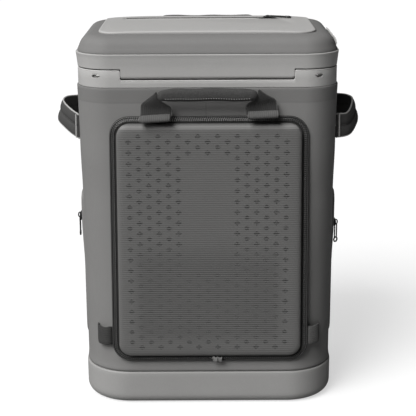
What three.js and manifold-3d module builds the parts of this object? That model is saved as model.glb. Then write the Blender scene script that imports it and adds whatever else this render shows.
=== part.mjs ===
// Cooler backpack: an insulated fabric body in a moulded base, with two hard rings at its mouth
// and a lid that is hinged along the front. Millimetres, +Z up, origin at the centre of the
// base's underside. The front pocket faces -Y and the shoulder straps lie on the +Y face.
import * as THREE from 'three';
import { mergeVertices } from 'three/addons/utils/BufferGeometryUtils.js';
import Module from 'manifold-3d';

const wasm = await Module();
wasm.setup();

// Main form
const width = 342;
const depth = 235;
const ringCorner = 46;
const baseCorner = 64;
const cornerSteps = 6;
const bendSteps = 4;
const fit = 0.3;

// Moulded base
const baseHeight = 47.7;
const baseWall = 3;
const baseFloor = 4;
const baseFillet = 14;
const filletSteps = 4;

// Insulated body
const bodyHeight = 391;
const bodyWall = 18;
const bodyFloor = 20;
const bodyInset = 1.6;
const collarSwell = 1.4;

// Rings round the mouth
const lowerRingHeight = 22.6;
const lowerRingWall = 20;
const lowerRingInset = 1;
const lidRingHeight = 20;
const lidRingWall = 13;
const lidRingTaper = 1.1;
const lidGap = 0.6;

// Hinge along the front of the rings
const tongueWidth = 224;
const tongueSideGap = 0.6;
const knuckleRadius = 4;
const hingeClearance = 0.5;
const hingeInset = 4.5;
const pinRadius = 1.7;
const pinBoreRadius = 2.1;
const pinLength = 82;
const notchDepth = 11.6;
const notchChamfer = 1.2;
const roundSides = 16;

// Lid
const domeHeight = 22;
const domeInset = 2.4;
const domeRound = 26;
const panelMargin = 30;
const panelThickness = 4;
const panelCorner = 26;
const lidZipLength = 217;
const lidZipWidth = 8.6;
const lidZipThickness = 1.8;
const lidZipBack = 51.5;
const lidZipCentre = -8.5;
const sideTabLength = 118;
const sideTabHeight = 9;
const sideTabThickness = 2.4;
const sideTabCentre = -9;

// Zip sliders and pulls
const sliderLength = 15;
const sliderWidth = 9;
const sliderThickness = 4;
const pullWidth = 8;
const pullThickness = 2;
const lidPullLength = 24;
const sidePullLength = 28;
const pullHoleRadius = 2.6;

// Front pocket
const pocketWidth = 243.4;
const pocketBottom = 73.7;
const pocketHeight = 319.6;
const pocketDepth = 12;
const pocketWall = 3;
const pocketCorner = 17;
const pocketCrown = 7;
const zipBand = 9;
const zipTapeThickness = 3;
const coilWidth = 3.6;
const coilRise = 1.3;
const zipEndWidth = 11;
const zipEndHeight = 7;
const zipEndThickness = 3;

// Haul handles, front and back
const webbingWidth = 38.5;
const webbingThickness = 2.2;
const legCentre = 69.5;
const gripLength = 127;
const gripHeight = 18.6;
const gripThickness = 13;
const gripDrop = 6;
const gripReach = 18;
const legSewnLength = 35.8;
const foldOverhang = 6.9;
const foldReach = 9;
const foldHeight = 13;
const rearGripRise = 68;
const rearGripReach = 10;
const rearSewnLength = 34;

// Side handles
const sideHandleHeight = 29;
const sideHandleThickness = 4.4;
const sideHandleSpan = 150;
const sideHandleReach = 37;
const sideHandleDrop = 55;
const sideHandleFoot = 16;
const sideHandleRise = 10;

// Side pockets with their zips
const sidePocketWidth = 104;
const sidePocketHeight = 204;
const sidePocketBottom = 80.7;
const sidePocketSwell = 2;
const sidePocketCorner = 12;
const sideZipWidth = 14;
const sideZipThickness = 1.6;
const sideZipMargin = 10;
const sideZipForward = 26;
const sideSliderTopDrop = 40;
const sideSliderStagger = 12;

// Lash loops beside the pocket
const lashHeight = 26;
const lashChord = 23;
const lashReach = 8;
const lashThickness = 1.8;
const lashBottom = 88.7;
const lashAngle = 30;

// Shoulder straps
const strapWidth = 60;
const strapThickness = 10;
const strapCentre = 74;
const strapTopDrop = 48;
const strapLength = 212;
const strapReach = 30;
const strapWebWidth = 25;
const strapWebThickness = 1.8;
const strapWebFoot = 66.7;
const buckleWidth = 33;
const buckleHeight = 24;
const buckleThickness = 6;

// Heights and faces that follow from the sizes above
const bodyTop = baseHeight + bodyHeight;
const lowerRingBottom = bodyTop + fit;
const lowerRingTop = lowerRingBottom + lowerRingHeight;
const lidRingBottom = lowerRingTop + lidGap;
const lidRingTop = lidRingBottom + lidRingHeight;
const domeBottom = lidRingTop + fit;
const domeTop = domeBottom + domeHeight;
const panelBottom = domeTop + fit;
const panelTop = panelBottom + panelThickness;
const hingeHeight = lowerRingTop - notchDepth + hingeClearance + knuckleRadius;
const hingeY = -depth / 2 + hingeInset;
const bodyFront = -depth / 2 + bodyInset;
const bodyBack = depth / 2 - bodyInset;
const bodySide = width / 2 - bodyInset;
const pocketMiddle = pocketBottom + pocketHeight / 2;
const pocketZipTop = pocketBottom + pocketHeight + zipBand + fit;

// Solids and booleans

function toSolid(geometry) {
  const bare = geometry.index ? geometry.clone() : geometry;
  bare.deleteAttribute('normal');
  bare.deleteAttribute('uv');
  const merged = mergeVertices(bare, 1e-4);
  const mesh = new wasm.Mesh({
    numProp: 3,
    vertProperties: new Float32Array(merged.attributes.position.array),
    triVerts: new Uint32Array(merged.index.array),
  });
  return new wasm.Manifold(mesh);
}

function toGeometry(solid) {
  const mesh = solid.getMesh();
  const geometry = new THREE.BufferGeometry();
  geometry.setAttribute('position', new THREE.BufferAttribute(new Float32Array(mesh.vertProperties), 3));
  geometry.setIndex(new THREE.BufferAttribute(new Uint32Array(mesh.triVerts), 1));
  return geometry;
}

function joined(...geometries) {
  return toGeometry(geometries.map(toSolid).reduce((all, one) => all.add(one)));
}

function cut(geometry, ...tools) {
  return toGeometry(tools.map(toSolid).reduce((left, tool) => left.subtract(tool), toSolid(geometry)));
}

function common(geometry, other) {
  return toGeometry(toSolid(geometry).intersect(toSolid(other)));
}

function box(sizeX, sizeY, sizeZ, x, y, z) {
  return new THREE.BoxGeometry(sizeX, sizeY, sizeZ).translate(x, y, z);
}

// A round bar along X
function barAlongX(radius, length, x, y, z) {
  const bar = new THREE.CylinderGeometry(radius, radius, length, roundSides);
  return bar.rotateZ(Math.PI / 2).translate(x, y, z);
}

// Points of a rectangle with rounded corners, anticlockwise from the +X side
function roundedOutline(halfX, halfY, radius) {
  const points = [];
  const quarters = [[1, 1], [-1, 1], [-1, -1], [1, -1]];
  quarters.forEach(([signX, signY], quarter) => {
    for (let step = 0; step <= cornerSteps; step += 1) {
      const angle = (quarter + step / cornerSteps) * Math.PI / 2;
      const x = signX * (halfX - radius) + radius * Math.cos(angle);
      const y = signY * (halfY - radius) + radius * Math.sin(angle);
      points.push(new THREE.Vector2(x, y));
    }
  });
  return points;
}

// A closed solid through rounded rectangles stacked along Z
function loft(rows) {
  const rings = rows.map((row) => roundedOutline(row.halfX, row.halfY, row.radius));
  const count = rings[0].length;
  const positions = [];
  rings.forEach((ring, row) => ring.forEach((point) => positions.push(point.x, point.y, rows[row].z)));
  const index = [];
  for (let row = 0; row < rows.length - 1; row += 1) {
    for (let side = 0; side < count; side += 1) {
      const next = (side + 1) % count;
      const low = row * count;
      const high = low + count;
      index.push(low + side, low + next, high + next, low + side, high + next, high + side);
    }
  }
  const top = (rows.length - 1) * count;
  for (let side = 1; side < count - 1; side += 1) {
    index.push(0, side + 1, side);
    index.push(top, top + side, top + side + 1);
  }
  const geometry = new THREE.BufferGeometry();
  geometry.setAttribute('position', new THREE.Float32BufferAttribute(positions, 3));
  geometry.setIndex(index);
  return geometry;
}

// One level of the bag's plan, moved in from its full width and depth
function level(z, inset, corner) {
  const radius = Math.max(corner - inset, 1);
  return { z, halfX: width / 2 - inset, halfY: depth / 2 - inset, radius };
}

// One level of a plate of its own width and height
function plate(z, sizeX, sizeY, inset, corner) {
  return { z, halfX: sizeX / 2 - inset, halfY: sizeY / 2 - inset, radius: Math.max(corner - inset, 0.6) };
}

// A plate that lies flat in XY is stood up on the front, the right or the left face
function onFront(geometry) {
  return geometry.rotateX(Math.PI / 2);
}

function onSide(geometry, side) {
  return geometry.rotateX(Math.PI / 2).rotateZ(side * Math.PI / 2);
}

// A strip of constant thickness, bent smoothly inside the corners of a line through points
function strip(points, thickness, stripWidth) {
  const corners = points.map(([u, v]) => new THREE.Vector2(u, v));
  const last = corners.length - 1;
  const path = new THREE.CurvePath();
  let from = corners[0];
  for (let turn = 1; turn < last; turn += 1) {
    const to = turn === last - 1 ? corners[last] : corners[turn].clone().lerp(corners[turn + 1], 0.5);
    path.add(new THREE.QuadraticBezierCurve(from, corners[turn], to));
    from = to;
  }
  const near = [];
  const far = [];
  path.curves.forEach((bend, turn) => {
    for (let step = turn === 0 ? 0 : 1; step <= bendSteps; step += 1) {
      const here = bend.getPoint(step / bendSteps);
      const along = bend.getTangent(step / bendSteps);
      const aside = new THREE.Vector2(-along.y, along.x).multiplyScalar(thickness / 2);
      near.push(here.clone().sub(aside));
      far.unshift(here.clone().add(aside));
    }
  });
  const shape = new THREE.Shape([...near, ...far]);
  const extruded = new THREE.ExtrudeGeometry(shape, { depth: stripWidth, bevelEnabled: false, steps: 1 });
  return extruded.translate(0, 0, -stripWidth / 2);
}

// A strip drawn in (Y, Z) and wide along X
function stripAcross(points, thickness, stripWidth, x) {
  const flat = strip(points, thickness, stripWidth);
  return flat.rotateY(Math.PI / 2).rotateX(Math.PI / 2).translate(x, 0, 0);
}

// Materials
function material(color, roughness, metalness = 0) {
  return new THREE.MeshStandardMaterial({ color, roughness, metalness });
}

const fabric = material(0x6b6a68, 0.85);
const paddedFabric = material(0x7a7977, 0.8);
const mouldedPanel = material(0x626160, 0.7);
const webbing = material(0x4b4a49, 0.9);
const ringPlastic = material(0x969593, 0.55);
const basePlastic = material(0x949391, 0.6);
const lidPlate = material(0xa9a8a6, 0.6);
const zipCoil = material(0x3a3938, 0.6);
const darkPlastic = material(0x2c2b2a, 0.45);
const steel = material(0xb4b4b2, 0.35, 0.9);

const bag = new THREE.Group();

function add(name, geometry, look) {
  const mesh = new THREE.Mesh(geometry, look);
  mesh.name = name;
  bag.add(mesh);
  return mesh;
}

// Base tray

function filletRows(inset, startZ, radius) {
  const rows = [];
  for (let step = 0; step <= filletSteps; step += 1) {
    const angle = step / filletSteps * Math.PI / 2;
    rows.push(level(startZ + radius * (1 - Math.cos(angle)), inset + radius * (1 - Math.sin(angle)), baseCorner));
  }
  return rows;
}

function baseTray() {
  const outside = loft([...filletRows(0, 0, baseFillet), level(baseHeight, 0, baseCorner)]);
  const innerFillet = Math.max(baseFillet - baseWall, 1);
  const inside = loft([...filletRows(baseWall, baseFloor, innerFillet), level(baseHeight + 1, baseWall, baseCorner)]);
  return cut(outside, inside);
}

// Body, with rows given as shares of its height, of the collar's swell and of the corner's change
const bodyRows = [
  { height: 0.0, swell: 0.55, corner: 0.0 },
  { height: 0.03, swell: 0.0, corner: 0.05 },
  { height: 0.3, swell: 0.15, corner: 0.3 },
  { height: 0.62, swell: 0.2, corner: 0.65 },
  { height: 0.8, swell: 0.7, corner: 0.9 },
  { height: 1.0, swell: 1.0, corner: 1.0 },
];

function bodyCorner(share) {
  return baseCorner + (ringCorner - baseCorner) * share;
}

// A column of the body's rows, read at any height above the floor
function bodyValueAt(z, column) {
  const share = THREE.MathUtils.clamp((z - baseHeight - fit) / (bodyHeight - fit), 0, 1);
  const upper = Math.max(bodyRows.findIndex((row) => row.height >= share), 1);
  const high = bodyRows[upper];
  const low = bodyRows[upper - 1];
  return low[column] + (high[column] - low[column]) * (share - low.height) / (high.height - low.height);
}

// How far the body stands out of its own inset at the proudest place between two heights
function swellBetween(lowZ, highZ) {
  const rowHeights = bodyRows.map((row) => baseHeight + fit + row.height * (bodyHeight - fit));
  const between = rowHeights.filter((z) => z > lowZ && z < highZ);
  return collarSwell * Math.max(...[lowZ, highZ, ...between].map((z) => bodyValueAt(z, 'swell')));
}

function bodyShell() {
  const seated = baseWall + fit;
  const innerFillet = Math.max(baseFillet - seated, 1);
  const start = baseHeight + fit;
  const rise = bodyTop - start;
  const outside = loft([
    ...filletRows(seated, baseFloor + fit, innerFillet),
    level(start, seated, baseCorner),
    ...bodyRows.map((row) => level(start + row.height * rise, bodyInset - row.swell * collarSwell, bodyCorner(row.corner))),
  ]);
  const hollow = baseWall + bodyWall;
  const inside = loft([
    level(baseFloor + fit + bodyFloor, hollow, baseCorner),
    level(bodyTop + 1, hollow, ringCorner),
  ]);
  return cut(outside, inside);
}

// Rings and hinge

function hingeBore(start, end) {
  return barAlongX(pinBoreRadius, end - start, (start + end) / 2, hingeY, hingeHeight);
}

function lowerFrame() {
  const outside = loft([
    level(lowerRingBottom, lowerRingInset, ringCorner),
    level(lowerRingTop - notchChamfer, lowerRingInset, ringCorner),
    level(lowerRingTop, lowerRingInset + notchChamfer, ringCorner),
  ]);
  const inside = loft([
    level(lowerRingBottom - 1, lowerRingInset + lowerRingWall, ringCorner),
    level(lowerRingTop + 1, lowerRingInset + lowerRingWall, ringCorner),
  ]);
  const notchBack = hingeY + knuckleRadius + hingeClearance;
  const notchSize = notchBack + depth;
  const notchFloor = lowerRingTop - notchDepth;
  const notchWidth = tongueWidth + 2 * tongueSideGap;
  const notch = box(notchWidth, notchSize, notchDepth + 2, 0, notchBack - notchSize / 2, notchFloor + notchDepth / 2 + 1);
  const slope = box(notchWidth, notchChamfer * 2, notchChamfer * 2, 0, 0, 0);
  slope.rotateX(Math.PI / 4).translate(0, -depth / 2 + lowerRingInset, notchFloor);
  return cut(outside, inside, notch, slope, hingeBore(-width / 2, width / 2));
}

function lidFrame() {
  const outside = loft([
    level(lidRingBottom, lidRingTaper, ringCorner),
    level(lidRingTop, 0, ringCorner),
  ]);
  const inside = loft([
    level(lidRingBottom - 1, lidRingWall, ringCorner),
    level(lidRingTop + 1, lidRingWall, ringCorner),
  ]);
  const frontFace = -depth / 2 + lidRingTaper;
  const thickness = hingeY + knuckleRadius - frontFace;
  const webTop = lidRingBottom + 1;
  const web = box(tongueWidth, thickness, webTop - hingeHeight, 0, frontFace + thickness / 2, (webTop + hingeHeight) / 2);
  const knuckle = barAlongX(knuckleRadius, tongueWidth, 0, hingeY, hingeHeight);
  const tongue = joined(web, knuckle);
  const limit = box(tongueWidth, thickness, lidRingHeight * 3, 0, frontFace + thickness / 2, lidRingBottom);
  const trimmed = common(tongue, limit);
  return cut(joined(cut(outside, inside), trimmed), hingeBore(-tongueWidth, tongueWidth));
}

function hingePin(side) {
  const cheek = tongueWidth / 2 + tongueSideGap;
  const reach = ringCorner - Math.sqrt(ringCorner ** 2 - (ringCorner - hingeInset) ** 2);
  const outerEnd = Math.min(width / 2 - lowerRingInset - reach - pinRadius, cheek + pinLength / 2);
  const innerEnd = outerEnd - pinLength;
  return barAlongX(pinRadius, pinLength, side * (outerEnd + innerEnd) / 2, hingeY, hingeHeight);
}

// Lid

const domeRows = [
  { height: 0.0, inset: 0.0 },
  { height: 0.3, inset: 0.03 },
  { height: 0.56, inset: 0.12 },
  { height: 0.78, inset: 0.3 },
  { height: 0.93, inset: 0.58 },
  { height: 1.0, inset: 1.0 },
];

function domeInsetAt(height) {
  const upper = domeRows.findIndex((row) => row.height >= height);
  const high = domeRows[Math.max(upper, 1)];
  const low = domeRows[Math.max(upper, 1) - 1];
  const share = (height - low.height) / (high.height - low.height);
  return domeInset + domeRound * (low.inset + (high.inset - low.inset) * share);
}

function lidDome() {
  const plug = lidRingWall + fit;
  return loft([
    level(lidRingBottom + fit, plug, ringCorner),
    level(domeBottom, plug, ringCorner),
    ...domeRows.map((row) => level(domeBottom + row.height * domeHeight, domeInset + row.inset * domeRound, ringCorner)),
  ]);
}

function lidPanel() {
  const sizeX = width - 2 * panelMargin;
  const sizeY = depth - 2 * panelMargin;
  const body = loft([
    plate(panelBottom, sizeX, sizeY, 0, panelCorner),
    plate(panelBottom + panelThickness * 0.6, sizeX, sizeY, 0, panelCorner),
    plate(panelTop, sizeX, sizeY, panelThickness * 0.6, panelCorner),
  ]);
  const groove = box(
    lidZipLength + 2 * fit,
    lidZipWidth + 2 * fit,
    panelThickness,
    lidZipCentre,
    lidZipBack,
    panelTop - lidZipThickness - fit + panelThickness / 2,
  );
  return cut(body, groove);
}

function lidZip() {
  return box(lidZipLength, lidZipWidth, lidZipThickness, lidZipCentre, lidZipBack, panelTop - lidZipThickness / 2);
}

function sideTab() {
  const low = 0.2;
  const high = low + sideTabHeight / domeHeight;
  const lean = domeInsetAt(high) - domeInsetAt(low);
  const face = width / 2 - domeInsetAt(low) + fit;
  const outline = new THREE.Shape([
    new THREE.Vector2(0, 0),
    new THREE.Vector2(sideTabThickness, 0),
    new THREE.Vector2(sideTabThickness - lean / 2, sideTabHeight),
    new THREE.Vector2(-lean / 2, sideTabHeight),
  ]);
  const tab = new THREE.ExtrudeGeometry(outline, { depth: sideTabLength, bevelEnabled: false, steps: 1 });
  tab.rotateX(Math.PI / 2).translate(face, sideTabCentre + sideTabLength / 2, domeBottom + low * domeHeight);
  return tab;
}

// Slider body that lies flat in XY with its nose towards +X
function sliderBody() {
  return loft([
    plate(0, sliderLength, sliderWidth, 0, 2.5),
    plate(sliderThickness * 0.7, sliderLength, sliderWidth, 0, 2.5),
    plate(sliderThickness, sliderLength, sliderWidth, 1.2, 2.5),
  ]);
}

// Pull that lies flat in XY, from its fixed end at the origin to a ring end at +X
function pullTab(length) {
  const outer = pullWidth / 2;
  const body = loft([
    plate(0, length, pullWidth, 0, outer * 0.95),
    plate(pullThickness, length, pullWidth, 0, outer * 0.95),
  ]).translate(length / 2, 0, 0);
  const hole = new THREE.CylinderGeometry(pullHoleRadius, pullHoleRadius, pullThickness * 4, roundSides);
  hole.rotateX(Math.PI / 2).translate(length - outer, 0, 0);
  return cut(body, hole);
}

function addLid() {
  add('lid_frame', lidFrame(), ringPlastic);
  add('lid_dome', lidDome(), paddedFabric);
  add('lid_panel', lidPanel(), lidPlate);
  add('lid_zip', lidZip(), zipCoil);
  const zipEnd = lidZipCentre + lidZipLength / 2;
  const slider = add('lid_zip_slider', sliderBody(), darkPlastic);
  slider.position.set(zipEnd - sliderLength, lidZipBack, panelTop + fit);
  const pull = add('lid_zip_pull', pullTab(lidPullLength), darkPlastic);
  pull.position.set(zipEnd - sliderLength / 2 + fit, lidZipBack, panelTop + fit);
  add('lid_side_tab', sideTab(), webbing);
}

// Front pocket with its zip

const pocketSeat = bodyFront - fit - swellBetween(pocketBottom - zipBand, pocketBottom + pocketHeight + zipBand);
const pocketZipFront = pocketSeat - zipTapeThickness - coilRise;

const gussetDepth = pocketDepth - pocketWall - fit;

function pocketGusset() {
  const outside = loft([
    plate(0, pocketWidth, pocketHeight, 0, pocketCorner),
    plate(gussetDepth, pocketWidth, pocketHeight, 0, pocketCorner),
  ]);
  const inside = loft([
    plate(-1, pocketWidth, pocketHeight, pocketWall, pocketCorner),
    plate(gussetDepth + 1, pocketWidth, pocketHeight, pocketWall, pocketCorner),
  ]);
  return onFront(cut(outside, inside)).translate(0, pocketSeat, pocketMiddle);
}

// The moulded face, whose rows are shares of its thickness and of how far its edge rolls in
const pocketFaceRows = [
  { height: 0.0, inset: 0.0 },
  { height: 0.4, inset: 0.14 },
  { height: 0.77, inset: 0.43 },
  { height: 1.0, inset: 1.0 },
];

function pocketFace() {
  const face = loft(pocketFaceRows.map((row) => {
    const z = pocketDepth - pocketWall + row.height * pocketWall;
    return plate(z, pocketWidth, pocketHeight, row.inset * pocketCrown, pocketCorner);
  }));
  return onFront(face).translate(0, pocketSeat, pocketMiddle);
}

function pocketFrame(outerInset, innerInset, low, high) {
  const sizeX = pocketWidth + 2 * fit + 2 * zipBand;
  const sizeY = pocketHeight + 2 * fit + 2 * zipBand;
  const corner = pocketCorner + zipBand;
  const outside = loft([plate(low, sizeX, sizeY, outerInset, corner), plate(high, sizeX, sizeY, outerInset, corner)]);
  const inside = loft([
    plate(low - 1, sizeX, sizeY, innerInset, corner),
    plate(high + 1, sizeX, sizeY, innerInset, corner),
  ]);
  return cut(outside, inside);
}

function pocketZip() {
  const tape = pocketFrame(0, zipBand, 0, zipTapeThickness);
  const coilInset = (zipBand - coilWidth) / 2;
  const coil = pocketFrame(coilInset, zipBand - coilInset, zipTapeThickness / 2, zipTapeThickness + coilRise);
  return onFront(joined(tape, coil)).translate(0, pocketSeat, pocketMiddle);
}

function pocketZipEnd() {
  const tab = loft([
    plate(0, zipEndWidth, zipEndHeight, 0, 1.5),
    plate(zipEndThickness, zipEndWidth, zipEndHeight, 1, 1.5),
  ]);
  return onFront(tab).translate(zipEndWidth / 2, pocketZipFront - fit, pocketBottom - zipBand / 2 - fit);
}

// Haul handles: a wrapped grip between two folded webbing legs

function grip() {
  const bar = loft([
    plate(-gripLength / 2, gripThickness, gripHeight, 1.5, gripThickness * 0.42),
    plate(-gripLength / 2 + 1.5, gripThickness, gripHeight, 0, gripThickness * 0.42),
    plate(gripLength / 2 - 1.5, gripThickness, gripHeight, 0, gripThickness * 0.42),
    plate(gripLength / 2, gripThickness, gripHeight, 1.5, gripThickness * 0.42),
  ]);
  return bar.rotateX(Math.PI / 2).rotateZ(Math.PI / 2);
}

// The leg's outer edge slants in towards the grip's end, and the grip's own place is kept free
function trimmedLeg(band, side, gripY, gripZ, slantStart) {
  const outer = legCentre + webbingWidth / 2;
  const inner = legCentre - webbingWidth / 2;
  const top = gripZ + gripHeight / 2 - 2;
  const slanted = new THREE.Shape([
    new THREE.Vector2(inner, 0),
    new THREE.Vector2(outer, 0),
    new THREE.Vector2(outer, slantStart),
    new THREE.Vector2(gripLength / 2 + webbingThickness * 2, top),
    new THREE.Vector2(inner, top),
  ]);
  const mask = new THREE.ExtrudeGeometry(slanted, { depth: depth * 2, bevelEnabled: false, steps: 1 });
  mask.rotateX(Math.PI / 2).translate(0, depth, 0);
  const kept = common(band, mask);
  const room = box(gripLength + 2 * fit, gripThickness + 2 * fit, gripHeight + 2 * fit, 0, gripY, gripZ);
  const leg = cut(kept, room);
  return side < 0 ? mirrored(leg) : leg;
}

function mirrored(geometry) {
  const flipped = geometry.clone().applyMatrix4(new THREE.Matrix4().makeScale(-1, 1, 1));
  const index = flipped.index.array;
  for (let corner = 0; corner < index.length; corner += 3) {
    [index[corner], index[corner + 1]] = [index[corner + 1], index[corner]];
  }
  return flipped;
}

const collarFront = -depth / 2 - fit + bodyInset - collarSwell;
const collarBack = -collarFront;

// The face that lies behind the front handle at a height: moulded panel, zip or bare collar
function faceBehindHandle(z) {
  if (pocketBottom + pocketHeight > z) return pocketSeat - pocketDepth - fit;
  if (pocketZipTop - fit > z) return pocketZipFront - fit;
  return collarFront;
}

const legSewnBottom = bodyTop - fit - legSewnLength;
const foldBottom = legSewnBottom - foldOverhang;
const frontGripY = faceBehindHandle(legSewnBottom) - gripReach;
const frontGripZ = bodyTop - gripDrop;

function frontLeg(side) {
  const sewnY = faceBehindHandle(legSewnBottom) - webbingThickness / 2;
  const foldY = Math.min(faceBehindHandle(foldBottom), sewnY) - foldReach;
  const band = stripAcross([
    [sewnY, bodyTop - fit],
    [sewnY, legSewnBottom + foldHeight],
    [sewnY, legSewnBottom + webbingThickness],
    [(sewnY + foldY) / 2, legSewnBottom + webbingThickness / 2],
    [foldY, foldBottom + webbingThickness / 2],
    [foldY - foldReach / 2, foldBottom + foldHeight / 2],
    [frontGripY, frontGripZ - gripHeight * 0.75],
    [frontGripY, frontGripZ + gripHeight / 2],
  ], webbingThickness, webbingWidth, legCentre);
  return trimmedLeg(band, side, frontGripY, frontGripZ, foldBottom + foldHeight);
}

const rearGripY = collarBack + rearGripReach;
const rearGripZ = bodyTop + rearGripRise - gripHeight / 2;

function rearLeg(side) {
  const sewnY = collarBack + webbingThickness / 2;
  const band = stripAcross([
    [sewnY, bodyTop - rearSewnLength - 6],
    [sewnY, bodyTop - rearSewnLength / 2],
    [sewnY, bodyTop - 2],
    [sewnY + rearGripReach * 0.5, bodyTop + rearGripRise * 0.35],
    [rearGripY, rearGripZ - gripHeight * 0.8],
    [rearGripY, rearGripZ + gripHeight / 2],
  ], webbingThickness, webbingWidth, legCentre);
  return trimmedLeg(band, side, rearGripY, rearGripZ, bodyTop + rearGripRise * 0.2);
}

function addHaulHandles() {
  add('front_handle_grip', grip().translate(0, frontGripY, frontGripZ), paddedFabric);
  add('front_handle_webbing_left', frontLeg(-1), webbing);
  add('front_handle_webbing_right', frontLeg(1), webbing);
  add('rear_handle_grip', grip().translate(0, rearGripY, rearGripZ), paddedFabric);
  add('rear_handle_webbing_left', rearLeg(-1), webbing);
  add('rear_handle_webbing_right', rearLeg(1), webbing);
}

// Side handles: a wide band that arches out from each side face

function sideHandle(side) {
  const foot = fit + sideHandleThickness / 2;
  const half = sideHandleSpan / 2;
  const arch = [
    [-half, foot],
    [-half + sideHandleFoot, foot],
    [-half * 0.55, sideHandleReach * 0.66],
    [-half * 0.2, sideHandleReach - sideHandleThickness / 2],
    [half * 0.2, sideHandleReach - sideHandleThickness / 2],
    [half * 0.55, sideHandleReach * 0.66],
    [half - sideHandleFoot, foot],
    [half, foot],
  ];
  const band = strip(arch, sideHandleThickness, sideHandleHeight);
  band.rotateZ(-Math.PI / 2);
  const lift = sideHandleRise / sideHandleReach;
  band.applyMatrix4(new THREE.Matrix4().set(1, 0, 0, 0, 0, 1, 0, 0, lift, 0, 1, 0, 0, 0, 0, 1));
  const faceX = bodySide + collarSwell;
  const z = bodyTop - sideHandleDrop;
  band.translate(faceX, 0, z);
  return side < 0 ? mirrored(toGeometry(toSolid(band))) : band;
}

// Side pockets: a low swelling on each side face, with a vertical zip towards the front

function addSidePocket(side, name) {
  const face = bodySide + swellBetween(sidePocketBottom, sidePocketBottom + sidePocketHeight) + fit;
  const middle = sidePocketBottom + sidePocketHeight / 2;
  const pad = loft([
    plate(0, sidePocketWidth, sidePocketHeight, 0, sidePocketCorner),
    plate(sidePocketSwell * 0.6, sidePocketWidth, sidePocketHeight, sidePocketSwell, sidePocketCorner),
    plate(sidePocketSwell, sidePocketWidth, sidePocketHeight, sidePocketSwell * 4, sidePocketCorner),
  ]);
  add(`side_pocket_${name}`, onSide(pad, side).translate(side * face, 0, middle), fabric);
  const zipFace = face + sidePocketSwell + fit;
  const zipHeight = sidePocketHeight - 2 * sideZipMargin;
  const zip = box(sideZipThickness, sideZipWidth, zipHeight, side * (zipFace + sideZipThickness / 2), -sideZipForward, middle);
  add(`side_zip_${name}`, zip, zipCoil);
  const sliderFace = zipFace + sideZipThickness + fit;
  const stagger = side > 0 ? sideSliderStagger : 0;
  const sliderZ = sidePocketBottom + sidePocketHeight - sideSliderTopDrop - stagger;
  const slider = onSide(sliderBody().rotateZ(Math.PI / 2), side);
  add(`side_zip_slider_${name}`, slider.translate(side * sliderFace, -sideZipForward, sliderZ), darkPlastic);
  const pull = onSide(pullTab(sidePullLength).rotateZ(-Math.PI / 2), side);
  const pullTop = sliderZ - sliderLength / 2 - fit;
  add(`side_zip_pull_${name}`, pull.translate(side * sliderFace, -sideZipForward, pullTop), darkPlastic);
}

// Lash loops on the front corners

function lashLoop(side) {
  const middle = lashBottom + lashHeight / 2;
  const corner = bodyCorner(bodyValueAt(middle, 'corner'));
  const radius = corner - bodyInset + swellBetween(lashBottom, lashBottom + lashHeight);
  const halfChord = lashChord / 2;
  const sag = radius - Math.sqrt(radius ** 2 - halfChord ** 2);
  const foot = fit + lashThickness / 2 - sag;
  const arch = [
    [-halfChord, foot],
    [-halfChord * 0.86, lashReach * 0.55],
    [-halfChord * 0.42, lashReach - lashThickness / 2],
    [halfChord * 0.42, lashReach - lashThickness / 2],
    [halfChord * 0.86, lashReach * 0.55],
    [halfChord, foot],
  ];
  const band = strip(arch, lashThickness, lashHeight);
  const angle = THREE.MathUtils.degToRad(lashAngle);
  band.rotateZ(Math.PI).translate(0, -radius, 0).rotateZ(angle);
  const centreX = width / 2 - corner;
  const centreY = -depth / 2 + corner;
  band.translate(centreX, centreY, middle);
  return side < 0 ? mirrored(toGeometry(toSolid(band))) : band;
}

// Shoulder straps: a padded upper length, an adjuster and a webbing tail sewn low on the back

function addShoulderStrap(side, name) {
  const x = side * strapCentre;
  const top = bodyTop - strapTopDrop;
  const seatY = bodyBack + swellBetween(top - strapWidth / 2, top) + fit + strapThickness / 2;
  const bottom = top - strapLength;
  const pad = stripAcross([
    [seatY, top],
    [seatY + strapReach * 0.1, top - strapLength * 0.08],
    [seatY + strapReach * 0.7, top - strapLength * 0.32],
    [seatY + strapReach, top - strapLength * 0.62],
    [seatY + strapReach * 0.92, bottom],
  ], strapThickness, strapWidth, x);
  add(`shoulder_strap_${name}`, pad, paddedFabric);
  const buckleY = seatY + strapReach * 0.92;
  const buckleZ = bottom - fit - buckleHeight / 2;
  add(`strap_buckle_${name}`, box(buckleWidth, buckleThickness, buckleHeight, x, buckleY, buckleZ), darkPlastic);
  const tailTop = buckleZ - buckleHeight / 2 - fit;
  const tailSeat = bodyBack + swellBetween(strapWebFoot, strapWebFoot + strapLength / 2) + fit + strapWebThickness / 2;
  const tail = stripAcross([
    [buckleY, tailTop],
    [buckleY - strapReach * 0.12, tailTop - (tailTop - strapWebFoot) * 0.25],
    [tailSeat + strapReach * 0.12, strapWebFoot + (tailTop - strapWebFoot) * 0.42],
    [tailSeat, strapWebFoot + (tailTop - strapWebFoot) * 0.26],
    [tailSeat, strapWebFoot],
  ], strapWebThickness, strapWebWidth, x);
  add(`strap_webbing_${name}`, tail, webbing);
}

add('base_tray', baseTray(), basePlastic);
add('body_shell', bodyShell(), fabric);
add('lower_frame', lowerFrame(), ringPlastic);
add('hinge_pin_left', hingePin(-1), steel);
add('hinge_pin_right', hingePin(1), steel);
addLid();
add('front_pocket', pocketFace(), mouldedPanel);
add('pocket_gusset', pocketGusset(), mouldedPanel);
add('pocket_zip', pocketZip(), zipCoil);
add('pocket_zip_end', pocketZipEnd(), webbing);
addHaulHandles();
add('side_handle_left', sideHandle(-1), webbing);
add('side_handle_right', sideHandle(1), webbing);
addSidePocket(-1, 'left');
addSidePocket(1, 'right');
add('lash_loop_left', lashLoop(-1), webbing);
add('lash_loop_right', lashLoop(1), webbing);
addShoulderStrap(-1, 'left');
addShoulderStrap(1, 'right');

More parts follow.
